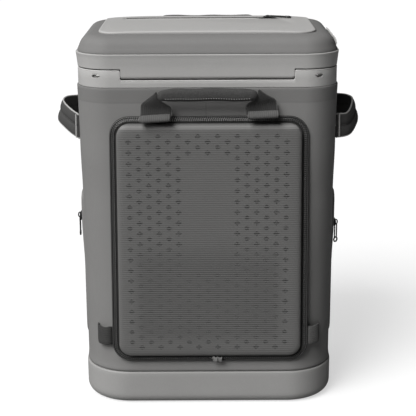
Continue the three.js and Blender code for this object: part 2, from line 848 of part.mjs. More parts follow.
export default bag;
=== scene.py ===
import math
import bmesh
import bpy
from mathutils import Matrix, Vector, noise


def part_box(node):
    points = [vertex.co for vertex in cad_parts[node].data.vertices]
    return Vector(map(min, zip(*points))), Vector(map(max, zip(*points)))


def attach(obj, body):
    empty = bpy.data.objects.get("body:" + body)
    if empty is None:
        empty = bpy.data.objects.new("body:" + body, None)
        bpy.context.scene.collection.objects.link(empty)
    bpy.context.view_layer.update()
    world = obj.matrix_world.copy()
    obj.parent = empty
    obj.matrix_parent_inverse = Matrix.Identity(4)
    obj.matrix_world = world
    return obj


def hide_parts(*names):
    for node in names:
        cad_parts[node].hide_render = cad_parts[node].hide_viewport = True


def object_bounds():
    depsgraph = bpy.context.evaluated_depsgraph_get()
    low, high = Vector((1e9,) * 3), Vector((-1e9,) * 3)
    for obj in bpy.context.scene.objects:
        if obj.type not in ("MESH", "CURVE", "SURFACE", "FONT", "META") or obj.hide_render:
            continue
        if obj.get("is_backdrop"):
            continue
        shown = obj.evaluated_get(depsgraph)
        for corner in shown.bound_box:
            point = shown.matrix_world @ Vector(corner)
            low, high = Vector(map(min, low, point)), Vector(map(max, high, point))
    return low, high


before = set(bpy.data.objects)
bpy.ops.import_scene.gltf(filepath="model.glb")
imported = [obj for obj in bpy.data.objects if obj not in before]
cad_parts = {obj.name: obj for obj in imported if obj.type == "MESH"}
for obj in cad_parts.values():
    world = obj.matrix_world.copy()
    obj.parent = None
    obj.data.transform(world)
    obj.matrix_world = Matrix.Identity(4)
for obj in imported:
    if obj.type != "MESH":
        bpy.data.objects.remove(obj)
cad_box = [list(corner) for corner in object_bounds()]

# The bag stands on z = 0 and its front pocket faces -Y. Shapes are worked out in millimetres
# from the frame's own boxes, and scaled to metres once, when a mesh is made.
MM = 0.001
SIDES = ((-1, "left"), (1, "right"))
RIGHT = Vector((1, 0, 0))
BACK = Vector((0, 1, 0))
UP = Vector((0, 0, 1))


def node_box(node):
    return [[value / MM for value in corner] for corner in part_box(node)]


def node_span(node):
    """Middle and half size of a node's box, then the box itself"""
    low, high = node_box(node)
    middle = [(a + b) / 2 for a, b in zip(low, high)]
    half = [(b - a) / 2 for a, b in zip(low, high)]
    return middle, half, low, high


# Sizes read from the frame
HALF_WIDTH, HALF_DEPTH, BASE_TOP = node_box("base_tray")[1]
BODY_TOP = node_box("body_shell")[1][2]
RING_LOW, RING_HIGH = node_box("lower_frame")
RING_TOP = RING_HIGH[2]
LID_TOP = node_box("lid_frame")[1][2]
DOME_LOW, DOME_HIGH = node_box("lid_dome")
PLATE_LOW, PLATE_HIGH = node_box("lid_panel")
FACE_LOW, FACE_HIGH = node_box("front_pocket")
FACE_TOP = FACE_HIGH[2]
POCKET_BACK = node_box("pocket_gusset")[1][1]
ZIP_LOW, ZIP_HIGH = node_box("pocket_zip")
ZIP_TOP = ZIP_HIGH[2]

# Corner radii and profile sizes of the real pieces
FIT = 0.3
RING_CORNER = 46.0
BASE_CORNER = 64.0
BASE_FILLET = 14.0
BASE_WALL = 3.0
BASE_FLOOR = 4.0
BODY_WALL = 18.0
BODY_FLOOR = 20.0
BODY_INSET = 2.2
COLLAR_SWELL = 2.2
COLLAR_SEAM = BODY_TOP - 19.2
POCKET_CORNER = 17.0
NOTCH_HALF = 112.6
TONGUE_HALF = 111.6
HINGE_Y = -113.0
HINGE_Z = RING_TOP - 7.1
KNUCKLE = 4.0


# Plain geometry

def mix(low, high, share):
    return low + (high - low) * share


def smooth(share):
    share = min(max(share, 0.0), 1.0)
    return share * share * (3 - 2 * share)


def spread(low, high, count):
    return [mix(low, high, step / count) for step in range(count + 1)]


def circle(count):
    """Cosine and sine of even steps round a circle"""
    turns = [step / count * math.tau for step in range(count)]
    return [(math.cos(turn), math.sin(turn)) for turn in turns]


def table(columns, *rows):
    """Rows of a table with named columns"""
    return [dict(zip(columns.split(), row)) for row in rows]


def table_value(rows, key, value, column):
    """A column of a table, read smoothly between its rows"""
    if value <= rows[0][key]:
        return rows[0][column]
    for below, above in zip(rows, rows[1:]):
        if value <= above[key]:
            share = (value - below[key]) / (above[key] - below[key])
            return mix(below[column], above[column], smooth(share))
    return rows[-1][column]


def rounded_path(half_x, half_y, radius, corner_steps=14, side_steps=14, front_marks=()):
    """Stations round a rounded rectangle: place and outward direction, anticlockwise from +X"""
    radius = max(radius, 0.2)
    stations = []
    corners = [(1, 1), (-1, 1), (-1, -1), (1, -1)]
    for quarter, (sign_x, sign_y) in enumerate(corners):
        centre_x = sign_x * (half_x - radius)
        centre_y = sign_y * (half_y - radius)
        for step in range(corner_steps + 1):
            angle = (quarter + step / corner_steps) * math.pi / 2
            out = (math.cos(angle), math.sin(angle))
            stations.append((centre_x + radius * out[0], centre_y + radius * out[1], out[0], out[1]))
        x, y, out_x, out_y = stations[-1]
        next_sign = corners[(quarter + 1) % 4]
        end_x = next_sign[0] * (half_x - radius) if quarter % 2 == 0 else x
        end_y = y if quarter % 2 == 0 else next_sign[1] * (half_y - radius)
        shares = spread(0, 1, side_steps)[1:-1]
        if quarter == 2 and front_marks:
            marks = {round((mark - x) / (end_x - x), 6) for mark in front_marks}
            clear = {share for share in shares if all(abs(share - mark) > 0.012 for mark in marks)}
            shares = sorted(marks | clear)
        for share in shares:
            stations.append((mix(x, end_x, share), mix(y, end_y, share), out_x, out_y))
    return stations


def outline(half_x, half_y, radius, **steps):
    """The places alone, round a rounded rectangle"""
    return [(x, y) for x, y, _, _ in rounded_path(half_x, half_y, radius, **steps)]


def upright(half_x, half_z, radius, middle_z, **steps):
    """The same places stood up on a face, as distance across and height"""
    return [(x, z + middle_z) for x, z in outline(half_x, half_z, radius, **steps)]


def walk(points, spacing, closed=False):
    """Places and directions at even spacing along a line of points"""
    line = [Vector(point) for point in points]
    if closed:
        line.append(line[0])
    total = sum((b - a).length for a, b in zip(line, line[1:]))
    step = total / max(int(round(total / spacing)), 1)
    found = []
    wanted = step / 2
    passed = 0.0
    for a, b in zip(line, line[1:]):
        length = (b - a).length
        while length > 0 and wanted <= passed + length:
            found.append((a.lerp(b, (wanted - passed) / length), (b - a).normalized()))
            wanted += step
        passed += length
    return found


def smooth_line(points, steps=6):
    """A quadratic B-spline through the middles of a chosen line, from end to end"""
    line = [Vector(point) for point in points]
    found = [line[0]]
    start = line[0]
    for turn in range(1, len(line) - 1):
        end = line[-1] if turn == len(line) - 2 else (line[turn] + line[turn + 1]) / 2
        for step in range(1, steps + 1):
            t = step / steps
            found.append(start * (1 - t) ** 2 + line[turn] * 2 * t * (1 - t) + end * t * t)
        start = end
    return found


def directions(line):
    """Direction of a line at each of its points, from one neighbour to the other"""
    ends = zip([line[0]] + line[:-1], line[1:] + [line[-1]])
    return [(ahead - behind).normalized() for behind, ahead in ends]


class Shape:
    """Points, faces, cloth coordinates and finish numbers of one mesh, in millimetres"""

    def __init__(self):
        self.points = []
        self.faces = []
        self.cloth = []
        self.finish = []

    def skin(self, rings, closed=False, cloth=None, finish=0):
        """Join rings with the same number of points. A closed skin runs round to its first ring"""
        start = len(self.points)
        count = len(rings[0])
        total = count * len(rings)
        faces = []
        for low in range(0, total if closed else total - count, count):
            high = (low + count) % total
            for side in range(count):
                ahead = (side + 1) % count
                faces.append((low + side, low + ahead, high + ahead, high + side))
        if not closed:
            faces += [tuple(reversed(range(count))), tuple(range(total - count, total))]
        self.points += [tuple(point) for ring in rings for point in ring]
        self.faces += [tuple(start + corner for corner in face) for face in faces]
        self.cloth += cloth or [(0.0, 0.0)] * total
        self.finish += [finish] * len(faces)

    def sweep(self, line, radius, sides=8, closed=False, finish=0, flat=1.0, flat_axis=UP):
        """A round or flattened bar along a line"""
        places = [Vector(point) for point in line]
        rings = []
        for number, place in enumerate(places):
            behind = places[number - 1] if number or closed else place
            ahead = places[(number + 1) % len(places)] if closed or number + 1 < len(places) else place
            along = (ahead - behind).normalized()
            aside = along.cross(flat_axis)
            if aside.length < 0.05:
                aside = along.cross(Vector((0.3, 1, 0.2)))
            aside.normalize()
            up = aside.cross(along).normalized()
            rings.append([place + aside * x * radius + up * y * radius * flat for x, y in circle(sides)])
        self.skin(rings, closed=closed, finish=finish)

    def capsule(self, middle, along, length, radius, sides=6, finish=0):
        """A short rod with rounded ends, such as a stitch or a zip tooth"""
        along = Vector(along).normalized()
        aside = along.cross(Vector((0.31, 0.52, 0.79))).normalized()
        up = along.cross(aside)
        rings = []
        for share, width in ((-0.5, 0.35), (-0.32, 1.0), (0.32, 1.0), (0.5, 0.35)):
            centre = Vector(middle) + along * share * length
            rings.append([centre + (aside * x + up * y) * radius * width for x, y in circle(sides)])
        self.skin(rings, finish=finish)

    def stitches(self, line, pitch, length, radius, finish=0, closed=False):
        for place, along in walk(line, pitch, closed=closed):
            self.capsule(place, along, length, radius, finish=finish)

    def ribbon(self, stations, thickness, across=8, finish=0):
        """Webbing from stations of (edge, other edge, face direction, bulge)"""
        shares = spread(0, 1, across)
        rings = []
        cloth = []
        travelled = 0.0
        before = None
        for edge, other, face, bulge in stations:
            edge = Vector(edge)
            other = Vector(other)
            face = Vector(face).normalized()
            middle = (edge + other) / 2
            if before is not None:
                travelled += (middle - before).length
            before = middle
            width = (other - edge).length
            upper = []
            lower = []
            for share in shares:
                round_edge = min(1.0, math.sin(math.pi * share) * 4 + 0.35)
                place = edge.lerp(other, share) + face * bulge * 4 * share * (1 - share)
                upper.append(place + face * thickness / 2 * round_edge)
                lower.append(place - face * thickness / 2 * round_edge)
            rings.append(upper + lower[::-1])
            cloth += [(share * width, travelled) for share in shares + shares[::-1]]
        self.skin(rings, cloth=cloth, finish=finish)

    def strip(self, line, width, thickness):
        """Webbing of even width along a line, flat from left to right"""
        edge = RIGHT * width / 2
        faces = [RIGHT.cross(along) for along in directions(line)]
        self.ribbon([(place - edge, place + edge, face, 0.0) for place, face in zip(line, faces)], thickness)


def new_mesh(name, shape, sharp_angle):
    mesh = bpy.data.meshes.new(name)
    mesh.from_pydata([Vector(point) * MM for point in shape.points], [], shape.faces)
    layer = mesh.uv_layers.new(name="cloth")
    for loop in mesh.loops:
        layer.data[loop.index].uv = shape.cloth[loop.vertex_index]
    mesh.polygons.foreach_set("material_index", shape.finish)
    soften(mesh, sharp_angle)
    return mesh


def soften(mesh, sharp_angle):
    """Smooth faces, with the edges over an angle kept crisp"""
    edit = bmesh.new()
    edit.from_mesh(mesh)
    bmesh.ops.recalc_face_normals(edit, faces=edit.faces)
    for face in edit.faces:
        face.smooth = True
    limit = math.radians(sharp_angle)
    for edge in edit.edges:
        edge.smooth = not (len(edge.link_faces) == 2 and edge.calc_face_angle() > limit)
    edit.to_mesh(mesh)
    edit.free()


def place_object(name, data):
    item = bpy.data.objects.new(name, data)
    bpy.context.scene.collection.objects.link(item)
    return item


def make_piece(name, shape, looks, slot, *replaced, body="case", sharp_angle=38):
    """A piece that rides on a body and stands for the CAD nodes it replaces; its slot argument is not used"""
    piece = place_object(name, new_mesh(name, shape, sharp_angle))
    for look in looks:
        piece.data.materials.append(look.material)
    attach(piece, body)
    if replaced:
        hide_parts(*replaced)
    return piece


def applied(piece):
    """Bake a piece's modifiers into its mesh"""
    graph = bpy.context.evaluated_depsgraph_get()
    done = bpy.data.meshes.new_from_object(piece.evaluated_get(graph))
    piece.modifiers.clear()
    piece.data = done


def carve(piece, cutter_shape, bevel):
    """Cut a shape out of a piece, and round the edges that are left sharp"""
    cutter = place_object("cutter", new_mesh("cutter", cutter_shape, 38))
    cut = piece.modifiers.new("cut", "BOOLEAN")
    cut.operation = "DIFFERENCE"
    cut.solver = "EXACT"
    cut.object = cutter
    edge = piece.modifiers.new("edge", "BEVEL")
    edge.width = bevel * MM
    edge.segments = 2
    edge.limit_method = "ANGLE"
    edge.angle_limit = math.radians(50)
    applied(piece)
    bpy.data.objects.remove(cutter)
    soften(piece.data, 38)


def puff(piece, pressure, cap, voxel):
    """Blow a padded piece up as cloth, with no point moved further than the cap"""
    remesh = piece.modifiers.new("even", "REMESH")
    remesh.mode = "VOXEL"
    remesh.voxel_size = voxel * MM
    applied(piece)
    start = [vertex.co.copy() for vertex in piece.data.vertices]
    cloth = piece.modifiers.new("cloth", "CLOTH")
    cloth.settings.use_pressure = True
    cloth.settings.uniform_pressure_force = pressure
    cloth.settings.effector_weights.gravity = 0
    for number in range(1, 21):
        bpy.context.scene.frame_set(number)
    applied(piece)
    bpy.context.scene.frame_set(1)
    for vertex, before in zip(piece.data.vertices, start):
        moved = vertex.co - before
        if moved.length > cap * MM:
            vertex.co = before + moved.normalized() * cap * MM
    finer = piece.modifiers.new("finer", "SUBSURF")
    finer.levels = 1
    finer.render_levels = 1
    applied(piece)
    soften(piece.data, 80)


# Materials: shared effects are node groups, and each material places them with its own values

class Value:
    """A number that changes over a surface, worked out with plain arithmetic in Math nodes"""

    def __init__(self, tree, socket):
        self.tree = tree
        self.socket = socket

    def __add__(self, other):
        return calc("ADD", self, other)

    def __sub__(self, other):
        return calc("SUBTRACT", self, other)

    def __rsub__(self, other):
        return calc("SUBTRACT", other, self)

    def __mul__(self, other):
        return calc("MULTIPLY", self, other)

    def __truediv__(self, other):
        return calc("DIVIDE", self, other)

    def __lt__(self, other):
        return calc("LESS_THAN", self, other)

    def __gt__(self, other):
        return calc("GREATER_THAN", self, other)

    def __abs__(self):
        return calc("ABSOLUTE", self)

    def __round__(self):
        return calc("ROUND", self)


def plug(tree, socket, value):
    """Feed a socket from a value, or set it to a plain number or colour"""
    if isinstance(value, Value):
        tree.links.new(value.socket, socket)
    else:
        socket.default_value = value


def calc(operation, *values):
    """One Math node, from values and plain numbers"""
    tree = next(value.tree for value in values if isinstance(value, Value))
    node = tree.nodes.new("ShaderNodeMath")
    node.operation = operation
    for socket, value in zip(node.inputs, values):
        plug(tree, socket, value)
    return Value(tree, node.outputs[0])


def split(tree, place, output):
    """X, Y and Z of a coordinate node's output"""
    parts = tree.nodes.new("ShaderNodeSeparateXYZ")
    tree.links.new(place.outputs[output], parts.inputs[0])
    return [Value(tree, part) for part in parts.outputs]


def object_axes(tree):
    """X, Y and Z of the piece's own frame, in millimetres"""
    return [axis * (1 / MM) for axis in split(tree, tree.nodes.new("ShaderNodeTexCoord"), "Object")]


def texture(tree, kind, scale, output):
    node = tree.nodes.new(kind)
    tree.links.new(tree.nodes.new("ShaderNodeTexCoord").outputs["Object"], node.inputs["Vector"])
    plug(tree, node.inputs["Scale"], scale)
    return node, Value(tree, node.outputs[output])


def noise_value(tree, scale, detail=3.0):
    node, value = texture(tree, "ShaderNodeTexNoise", scale, "Fac")
    node.inputs["Detail"].default_value = detail
    return value


def wave(value, pitch):
    """A sine from 0 to 1 along a length"""
    return calc("SINE", value / pitch * math.tau) * 0.5 + 0.5


def fade(value, low_at, high_at, low=0.0, high=1.0):
    """A smooth change between two levels, from one length to another"""
    node = value.tree.nodes.new("ShaderNodeMapRange")
    node.interpolation_type = "SMOOTHSTEP"
    settings = {"From Min": low_at, "From Max": high_at, "To Min": low, "To Max": high, "Value": value}
    for label, setting in settings.items():
        plug(value.tree, node.inputs[label], setting)
    return Value(value.tree, node.outputs["Result"])


def cloth_weave(tree, yarn):
    """Plain weave of fine yarns with uneven yarn thickness"""
    x, y, z = object_axes(tree)
    height = wave(x + y, yarn) * wave(z, yarn)
    return {"Shade": height * 0.45 + noise_value(tree, 900.0) * 0.55, "Height": height}


def mottle(tree, scale):
    """Slow change of tone from handling, coating and dust"""
    return {"Shade": noise_value(tree, scale, 4.0) * 0.7 + noise_value(tree, scale * 9.0) * 0.3}


def grain(tree, scale):
    """Fine pebble of moulded plastic"""
    height = texture(tree, "ShaderNodeTexVoronoi", scale, "Distance")[1]
    return {"Shade": noise_value(tree, 500.0, 4.0), "Height": height}


def webbing_weave(tree, rib, weft):
    """Ribs along woven webbing, crossed by its weft. It reads the cloth coordinates, in millimetres"""
    cloth = tree.nodes.new("ShaderNodeUVMap")
    cloth.uv_map = "cloth"
    across, along, _ = split(tree, cloth, "UV")
    ribs = wave(across, rib)
    height = ribs * 0.65 + wave(along / weft + (ribs > 0.5) * 0.5, 1.0) * 0.35
    return {"Shade": height * 0.75 + noise_value(tree, 700.0) * 0.25, "Height": height}


def new_effect(name, work, **inputs):
    """A node group with named inputs, and the outputs that a function works out from them"""
    tree = bpy.data.node_groups.new(name, "ShaderNodeTree")
    for label, value in inputs.items():
        tree.interface.new_socket(label, in_out="INPUT", socket_type="NodeSocketFloat").default_value = value
    given = tree.nodes.new("NodeGroupInput")
    found = work(tree, *[Value(tree, given.outputs[label]) for label in inputs])
    for label in found:
        tree.interface.new_socket(label, in_out="OUTPUT", socket_type="NodeSocketFloat")
    result = tree.nodes.new("NodeGroupOutput")
    for label, value in found.items():
        plug(tree, result.inputs[label], value)
    return tree


EFFECTS = {
    "cloth_weave": new_effect("cloth_weave", cloth_weave, Yarn=1.0),
    "mottle": new_effect("mottle", mottle, Scale=10.0),
    "grain": new_effect("grain", grain, Scale=1400.0),
    "webbing_weave": new_effect("webbing_weave", webbing_weave, Rib=2.6, Weft=1.5),
}


def grey(level):
    """Slightly warm grey as linear colour, from its brightness in a picture (0 to 255)"""
    linear = ((level / 255 + 0.055) / 1.055) ** 2.4
    return (linear * 1.012, linear, linear * 0.98, 1.0)


class Look:
    """One material, with its tone, roughness and relief built from effects"""

    def __init__(self, name, level, roughness, specular, metallic=0.0):
        self.material = bpy.data.materials.new(name)
        self.material.use_nodes = True
        self.tree = self.material.node_tree
        self.shader = self.tree.nodes["Principled BSDF"]
        self.roughness = roughness
        self.normal = None
        settings = {"Base Color": grey(level), "Roughness": roughness, "Metallic": metallic}
        settings["Specular IOR Level"] = specular
        for label, value in settings.items():
            self.shader.inputs[label].default_value = value

    def effect(self, name, **inputs):
        """Place a shared effect, and give its outputs by name"""
        node = self.tree.nodes.new("ShaderNodeGroup")
        node.node_tree = EFFECTS[name]
        for label, value in inputs.items():
            node.inputs[label].default_value = value
        return {output.name: Value(self.tree, output) for output in node.outputs}

    def blend(self, kind, factor, colour):
        """Lay a colour over the one that is there. A colour Mix node has its own sockets at 6, 7 and 2"""
        node = self.tree.nodes.new("ShaderNodeMix")
        node.data_type = "RGBA"
        node.blend_type = kind
        base = self.shader.inputs["Base Color"]
        under = Value(self.tree, base.links[0].from_socket) if base.is_linked else base.default_value
        for number, value in ((0, factor), (6, under), (7, colour)):
            plug(self.tree, node.inputs[number], value)
        self.tree.links.new(node.outputs[2], base)

    def tone(self, shade, amount):
        """Let a value from 0 to 1 darken and lighten the colour"""
        self.blend("MULTIPLY", 1.0, shade * (2 * amount) + (1 - amount))

    def paint(self, mask, level):
        """Cover the colour with another tone where a mask is 1"""
        self.blend("MIX", mask, grey(level))

    def mottled(self, scale, amount):
        self.tone(self.effect("mottle", Scale=scale)["Shade"], amount)

    def rough(self, scale, amount):
        """Let the roughness change slowly over the surface"""
        shade = self.effect("mottle", Scale=scale)["Shade"]
        plug(self.tree, self.shader.inputs["Roughness"], shade * (2 * amount) + (self.roughness - amount))

    def relief(self, height, depth):
        """Bump with a depth in millimetres, on top of any earlier bump"""
        node = self.tree.nodes.new("ShaderNodeBump")
        node.inputs["Distance"].default_value = depth * MM
        plug(self.tree, node.inputs["Height"], height)
        if self.normal:
            plug(self.tree, node.inputs["Normal"], self.normal)
        self.normal = Value(self.tree, node.outputs["Normal"])
        plug(self.tree, self.shader.inputs["Normal"], self.normal)


def plastic_look(name, level, roughness, depth=0.05):
    look = Look(name, level, roughness, 0.45)
    pebble = look.effect("grain", Scale=1300.0)
    look.tone(pebble["Shade"], 0.05)
    look.mottled(14.0, 0.07)
    look.rough(30.0, 0.08)
    look.relief(pebble["Height"], depth)
    return look


def cloth_look(name, level, roughness, yarn, tone, depth, uneven=0.08):
    look = Look(name, level, roughness, 0.3)
    weave = look.effect("cloth_weave", Yarn=yarn)
    look.tone(weave["Shade"], tone)
    look.mottled(11.0, uneven)
    look.rough(40.0, 0.06)
    look.relief(weave["Height"], depth)
    return look


def webbing_look(name, level, rib=2.6, weft=1.5, tone=0.3, depth=0.35):
    look = Look(name, level, 0.86, 0.25)
    weave = look.effect("webbing_weave", Rib=rib, Weft=weft)
    look.tone(weave["Shade"], tone)
    look.mottled(25.0, 0.1)
    look.relief(weave["Height"], depth)
    return look


BODY_SEAM_X = -2.0


def shell_look():
    """Coated cloth of the body, with its darker collar band and the short seam under it"""
    look = cloth_look("coated_cloth", 121, 0.62, yarn=0.9, tone=0.05, depth=0.04, uneven=0.06)
    x, y, z = object_axes(look.tree)
    look.paint((z > COLLAR_SEAM) * 0.5, 108)
    seam = (abs(x - BODY_SEAM_X) < 0.45) * (y < 0.0) * (z > ZIP_TOP) * (z < COLLAR_SEAM)
    look.paint(seam * 0.5, 84)
    return look


def grip_look():
    """Dark knitted wrap with a light fleck"""
    look = cloth_look("grip_wrap", 64, 0.9, yarn=1.6, tone=0.22, depth=0.2, uneven=0.18)
    look.tone(noise_value(look.tree, 620.0, 2.0), 0.45)
    return look


# The moulded pocket face: ribs all over, small diamonds in staggered columns round a plain
# field, and a smoother stretch low in the middle. Depths are measured down from the first row.
RIB_PITCH = 2.95
COLUMN_PITCH = 12.8
ROW_PITCH = 14.5
DIAMOND_HALF_WIDTH = 4.2
DIAMOND_HALF_HEIGHT = 3.6
FIRST_ROW = FACE_TOP - 15.2
LAST_COLUMN = 8
LAST_ROW = 20
PLAIN_COLUMNS = 2
PLAIN_FROM = 25.0
PLAIN_TO = 186.0
POCKET_LEVEL = 96


def pocket_face_look():
    look = cloth_look("moulded_cloth", POCKET_LEVEL, 0.72, yarn=0.8, tone=0.06, depth=0.04)
    x, _, z = object_axes(look.tree)
    rib = wave(z, RIB_PITCH)
    groove = 1.0 - rib
    column = round(x / COLUMN_PITCH)
    even = 1.0 - calc("MODULO", abs(column), 2.0)
    lowered = even * (ROW_PITCH / 2)
    depth = FIRST_ROW - z - lowered
    row = round(depth / ROW_PITCH)
    across = abs(x - column * COLUMN_PITCH) / DIAMOND_HALF_WIDTH
    inside = across + abs(depth - row * ROW_PITCH) / DIAMOND_HALF_HEIGHT < 1.0
    centre = row * ROW_PITCH + lowered
    plain = (abs(column) < PLAIN_COLUMNS + 0.5) * (centre > PLAIN_FROM) * (centre < PLAIN_TO)
    in_rows = (row > -0.5) * (row < (LAST_ROW + 0.5) - even)
    field = (abs(column) < LAST_COLUMN + 0.5) * in_rows * (1.0 - plain)
    low_middle = fade(z, 246.0, 200.0) * fade(z, 88.0, 112.0) * fade(abs(x), 104.0, 84.0)
    diamond = inside * calc("POWER", groove, 0.6) * field * (1.0 - low_middle * 0.6)
    # Painted highlight: a lighter band just under the face's rounded top edge, where light from above falls
    top_edge_highlight = fade(z, FACE_TOP - 8, FACE_TOP - 4.5) * fade(z, FACE_TOP, FACE_TOP - 3)
    look.paint(top_edge_highlight * 0.4, 145)
    look.tone(rib, 0.05)
    look.paint(groove * low_middle * 0.75, POCKET_LEVEL - 30)
    look.paint(diamond * 0.85, POCKET_LEVEL - 36)
    look.relief(rib, 0.15)
    look.relief(diamond * -1.0, 0.45)
    return look


def top_lit_teeth_look():
    """Dark teeth, with a painted highlight along the left and middle of the top run, where light from above
    falls
    """
    look = Look("zip_teeth", 74, 0.4, 0.5)
    look.tone(look.effect("grain", Scale=1300.0)["Shade"], 0.06)
    x, _, z = object_axes(look.tree)
    # Painted highlight: the teeth are painted lighter along the top run, fading out towards the right
    look.paint(fade(z, ZIP_TOP - 22, ZIP_TOP - 5) * fade(x, 88.0, 50.0), 140)
    return look


def steel_look():
    look = Look("pin_steel", 150, 0.4, 0.5, metallic=1.0)
    look.rough(60.0, 0.1)
    return look


BASE_PLASTIC = plastic_look("base_plastic", 147, 0.5)
RING_PLASTIC = plastic_look("ring_plastic", 166, 0.42)
# Pale plastic for the bead along the notch's chamfer: its light tone is a painted highlight on the rounded
# edge
RING_HIGHLIGHT = plastic_look("ring_painted_highlight", 205, 0.3, depth=0.02)
SHELL = shell_look()
DOME_CLOTH = cloth_look("dome_cloth", 114, 0.66, yarn=1.0, tone=0.09, depth=0.05, uneven=0.09)
PLATE = cloth_look("lid_plate", 166, 0.55, yarn=0.7, tone=0.04, depth=0.03, uneven=0.05)
POCKET_FACE = pocket_face_look()
ZIP_TAPE = webbing_look("zip_tape", 52, rib=1.2, weft=0.9, tone=0.25, depth=0.15)
TOP_LIT_ZIP_TEETH = top_lit_teeth_look()
DARK_TEETH = plastic_look("dark_zip_teeth", 52, 0.4, depth=0.02)
WEBBING = webbing_look("webbing", 60)
# A lighter copy of the same webbing: its extra brightness is painted light, for the lit fold, the leg edges
# and the right lash loop
LIT_WEBBING = webbing_look("webbing_painted_lit", 84)
PALE_PIPING = webbing_look("pale_piping", 114, rib=1.0, weft=1.0, tone=0.2, depth=0.1)
PALE_WEBBING = webbing_look("pale_webbing", 205, rib=3.2, weft=2.4)
PIPING = webbing_look("piping", 158, rib=1.0, weft=1.0, tone=0.2, depth=0.1)
GRIP = grip_look()
PAD = cloth_look("pad_cloth", 66, 0.85, yarn=1.4, tone=0.18, depth=0.12, uneven=0.12)
THREAD = cloth_look("thread", 122, 0.7, yarn=0.4, tone=0.1, depth=0.02)
DARK_METAL = plastic_look("dark_metal", 38, 0.28, depth=0.01)
DARK_PLASTIC = plastic_look("dark_plastic", 46, 0.42)
STEEL = steel_look()


# Moulded base

def fillet_rows(inset, start, radius, steps=10):
    """Heights and insets of a rounded lower edge"""
    turns = [step / steps * math.pi / 2 for step in range(steps + 1)]
    return [(start + radius * (1 - math.cos(turn)), inset + radius * (1 - math.sin(turn))) for turn in turns]


def plan(z, inset, corner, **steps):
    """The bag's plan at a height, moved in from its full width and depth"""
    path = outline(HALF_WIDTH - inset, HALF_DEPTH - inset, max(corner - inset, 1.0), **steps)
    return [(x, y, z) for x, y in path]


def make_base():
    lip = BASE_TOP - 1.2
    rows = fillet_rows(0, 0, BASE_FILLET)
    rows += [(mix(BASE_FILLET, lip - 1.8, share), 0.0) for share in spread(0, 1, 6)[1:]]
    rows += [(lip - 0.9, 0.2), (lip - 0.35, 0.6), (lip, 1.4), (lip, BASE_WALL - 0.2)]
    rows += [(lip - 0.5, BASE_WALL), (BASE_FILLET + 2, BASE_WALL)]
    rows += fillet_rows(BASE_WALL, BASE_FLOOR, BASE_FILLET - BASE_WALL)[::-1]
    shape = Shape()
    shape.skin([plan(z, inset, BASE_CORNER) for z, inset in rows])
    make_piece("moulded_base", shape, [BASE_PLASTIC], "base_plastic", "base_tray")


# Insulated body: shares of its height, of the collar's swell and of the corner's change

BODY_ROWS = table("height swell corner", (0.0, 0.55, 0.0), (0.03, 0.0, 0.05), (0.3, 0.15, 0.3),
                  (0.62, 0.2, 0.65), (0.8, 0.7, 0.9), (1.0, 1.0, 1.0))
BODY_STEPS = 18


def body_share(z):
    return (z - BASE_TOP) / (BODY_TOP - BASE_TOP)


def body_inset(z):
    return BODY_INSET - COLLAR_SWELL * table_value(BODY_ROWS, "height", body_share(z), "swell")


def body_corner(z):
    return mix(BASE_CORNER, RING_CORNER, table_value(BODY_ROWS, "height", body_share(z), "corner"))


def body_ring(z, extra=0.0):
    """The body's outline at a height, with the slight hollows of cloth over foam"""
    ring = []
    middle = math.sin(math.pi * min(max(body_share(z), 0.0), 1.0))
    inset = body_inset(z) + extra
    path = rounded_path(HALF_WIDTH - inset, HALF_DEPTH - inset, body_corner(z) - inset, side_steps=BODY_STEPS)
    for x, y, out_x, out_y in path:
        hollow = 0.35 * middle * (0.5 + 0.5 * noise.noise(Vector((x, y, z)) / 46))
        ring.append((x - out_x * hollow, y - out_y * hollow, z))
    return ring


def side_face(y, z):
    """How far out the body's side lies at a place along its depth"""
    inset = body_inset(z)
    corner = body_corner(z) - inset
    past = max(abs(y) - (HALF_DEPTH - inset - corner), 0.0)
    return HALF_WIDTH - inset - corner + math.sqrt(corner ** 2 - past ** 2)


def make_body():
    seated = BASE_WALL + FIT
    hollow = BASE_WALL + BODY_WALL
    foot = fillet_rows(seated, BASE_FLOOR + FIT, BASE_FILLET - seated, 5) + [(BASE_TOP - 1.6, seated)]
    rings = [plan(z, inset, BASE_CORNER, side_steps=BODY_STEPS) for z, inset in foot]
    groove = ((0.0, 2.6), (0.5, 1.7), (1.3, 0.8), (2.4, 0.25), (4.0, 0.0))
    rings += [body_ring(BASE_TOP - 0.9 + rise, extra) for rise, extra in groove]
    heights = [BASE_TOP + rise for rise in (6, 9, 13, 17)] + spread(BASE_TOP + 22, COLLAR_SEAM - 6, 54)
    heights += [COLLAR_SEAM - drop for drop in (3, 1, 0.4)]
    rings += [body_ring(z) for z in heights]
    rings += [body_ring(COLLAR_SEAM, -0.05), body_ring(COLLAR_SEAM + 1, -0.15)]
    rings += [body_ring(z, -0.03 * (z - COLLAR_SEAM)) for z in spread(COLLAR_SEAM + 4, BODY_TOP - 1.0, 5)]
    rings += [body_ring(BODY_TOP - 0.4, -0.4), body_ring(BODY_TOP, 0.2)]
    mouth = ((BODY_TOP, hollow - 1.5), (BODY_TOP - 1.5, hollow), (240, hollow), (60, hollow))
    rings += [plan(z, inset, RING_CORNER, side_steps=BODY_STEPS) for z, inset in mouth]
    floor = fillet_rows(hollow, BASE_FLOOR + FIT + BODY_FLOOR, 14, 5)[::-1]
    rings += [plan(z, inset, BASE_CORNER, side_steps=BODY_STEPS) for z, inset in floor]
    shape = Shape()
    shape.skin(rings)
    make_piece("fabric_body", shape, [SHELL], "fabric_shell", "body_shell")


# Rings round the mouth, made as sections that travel round the plan

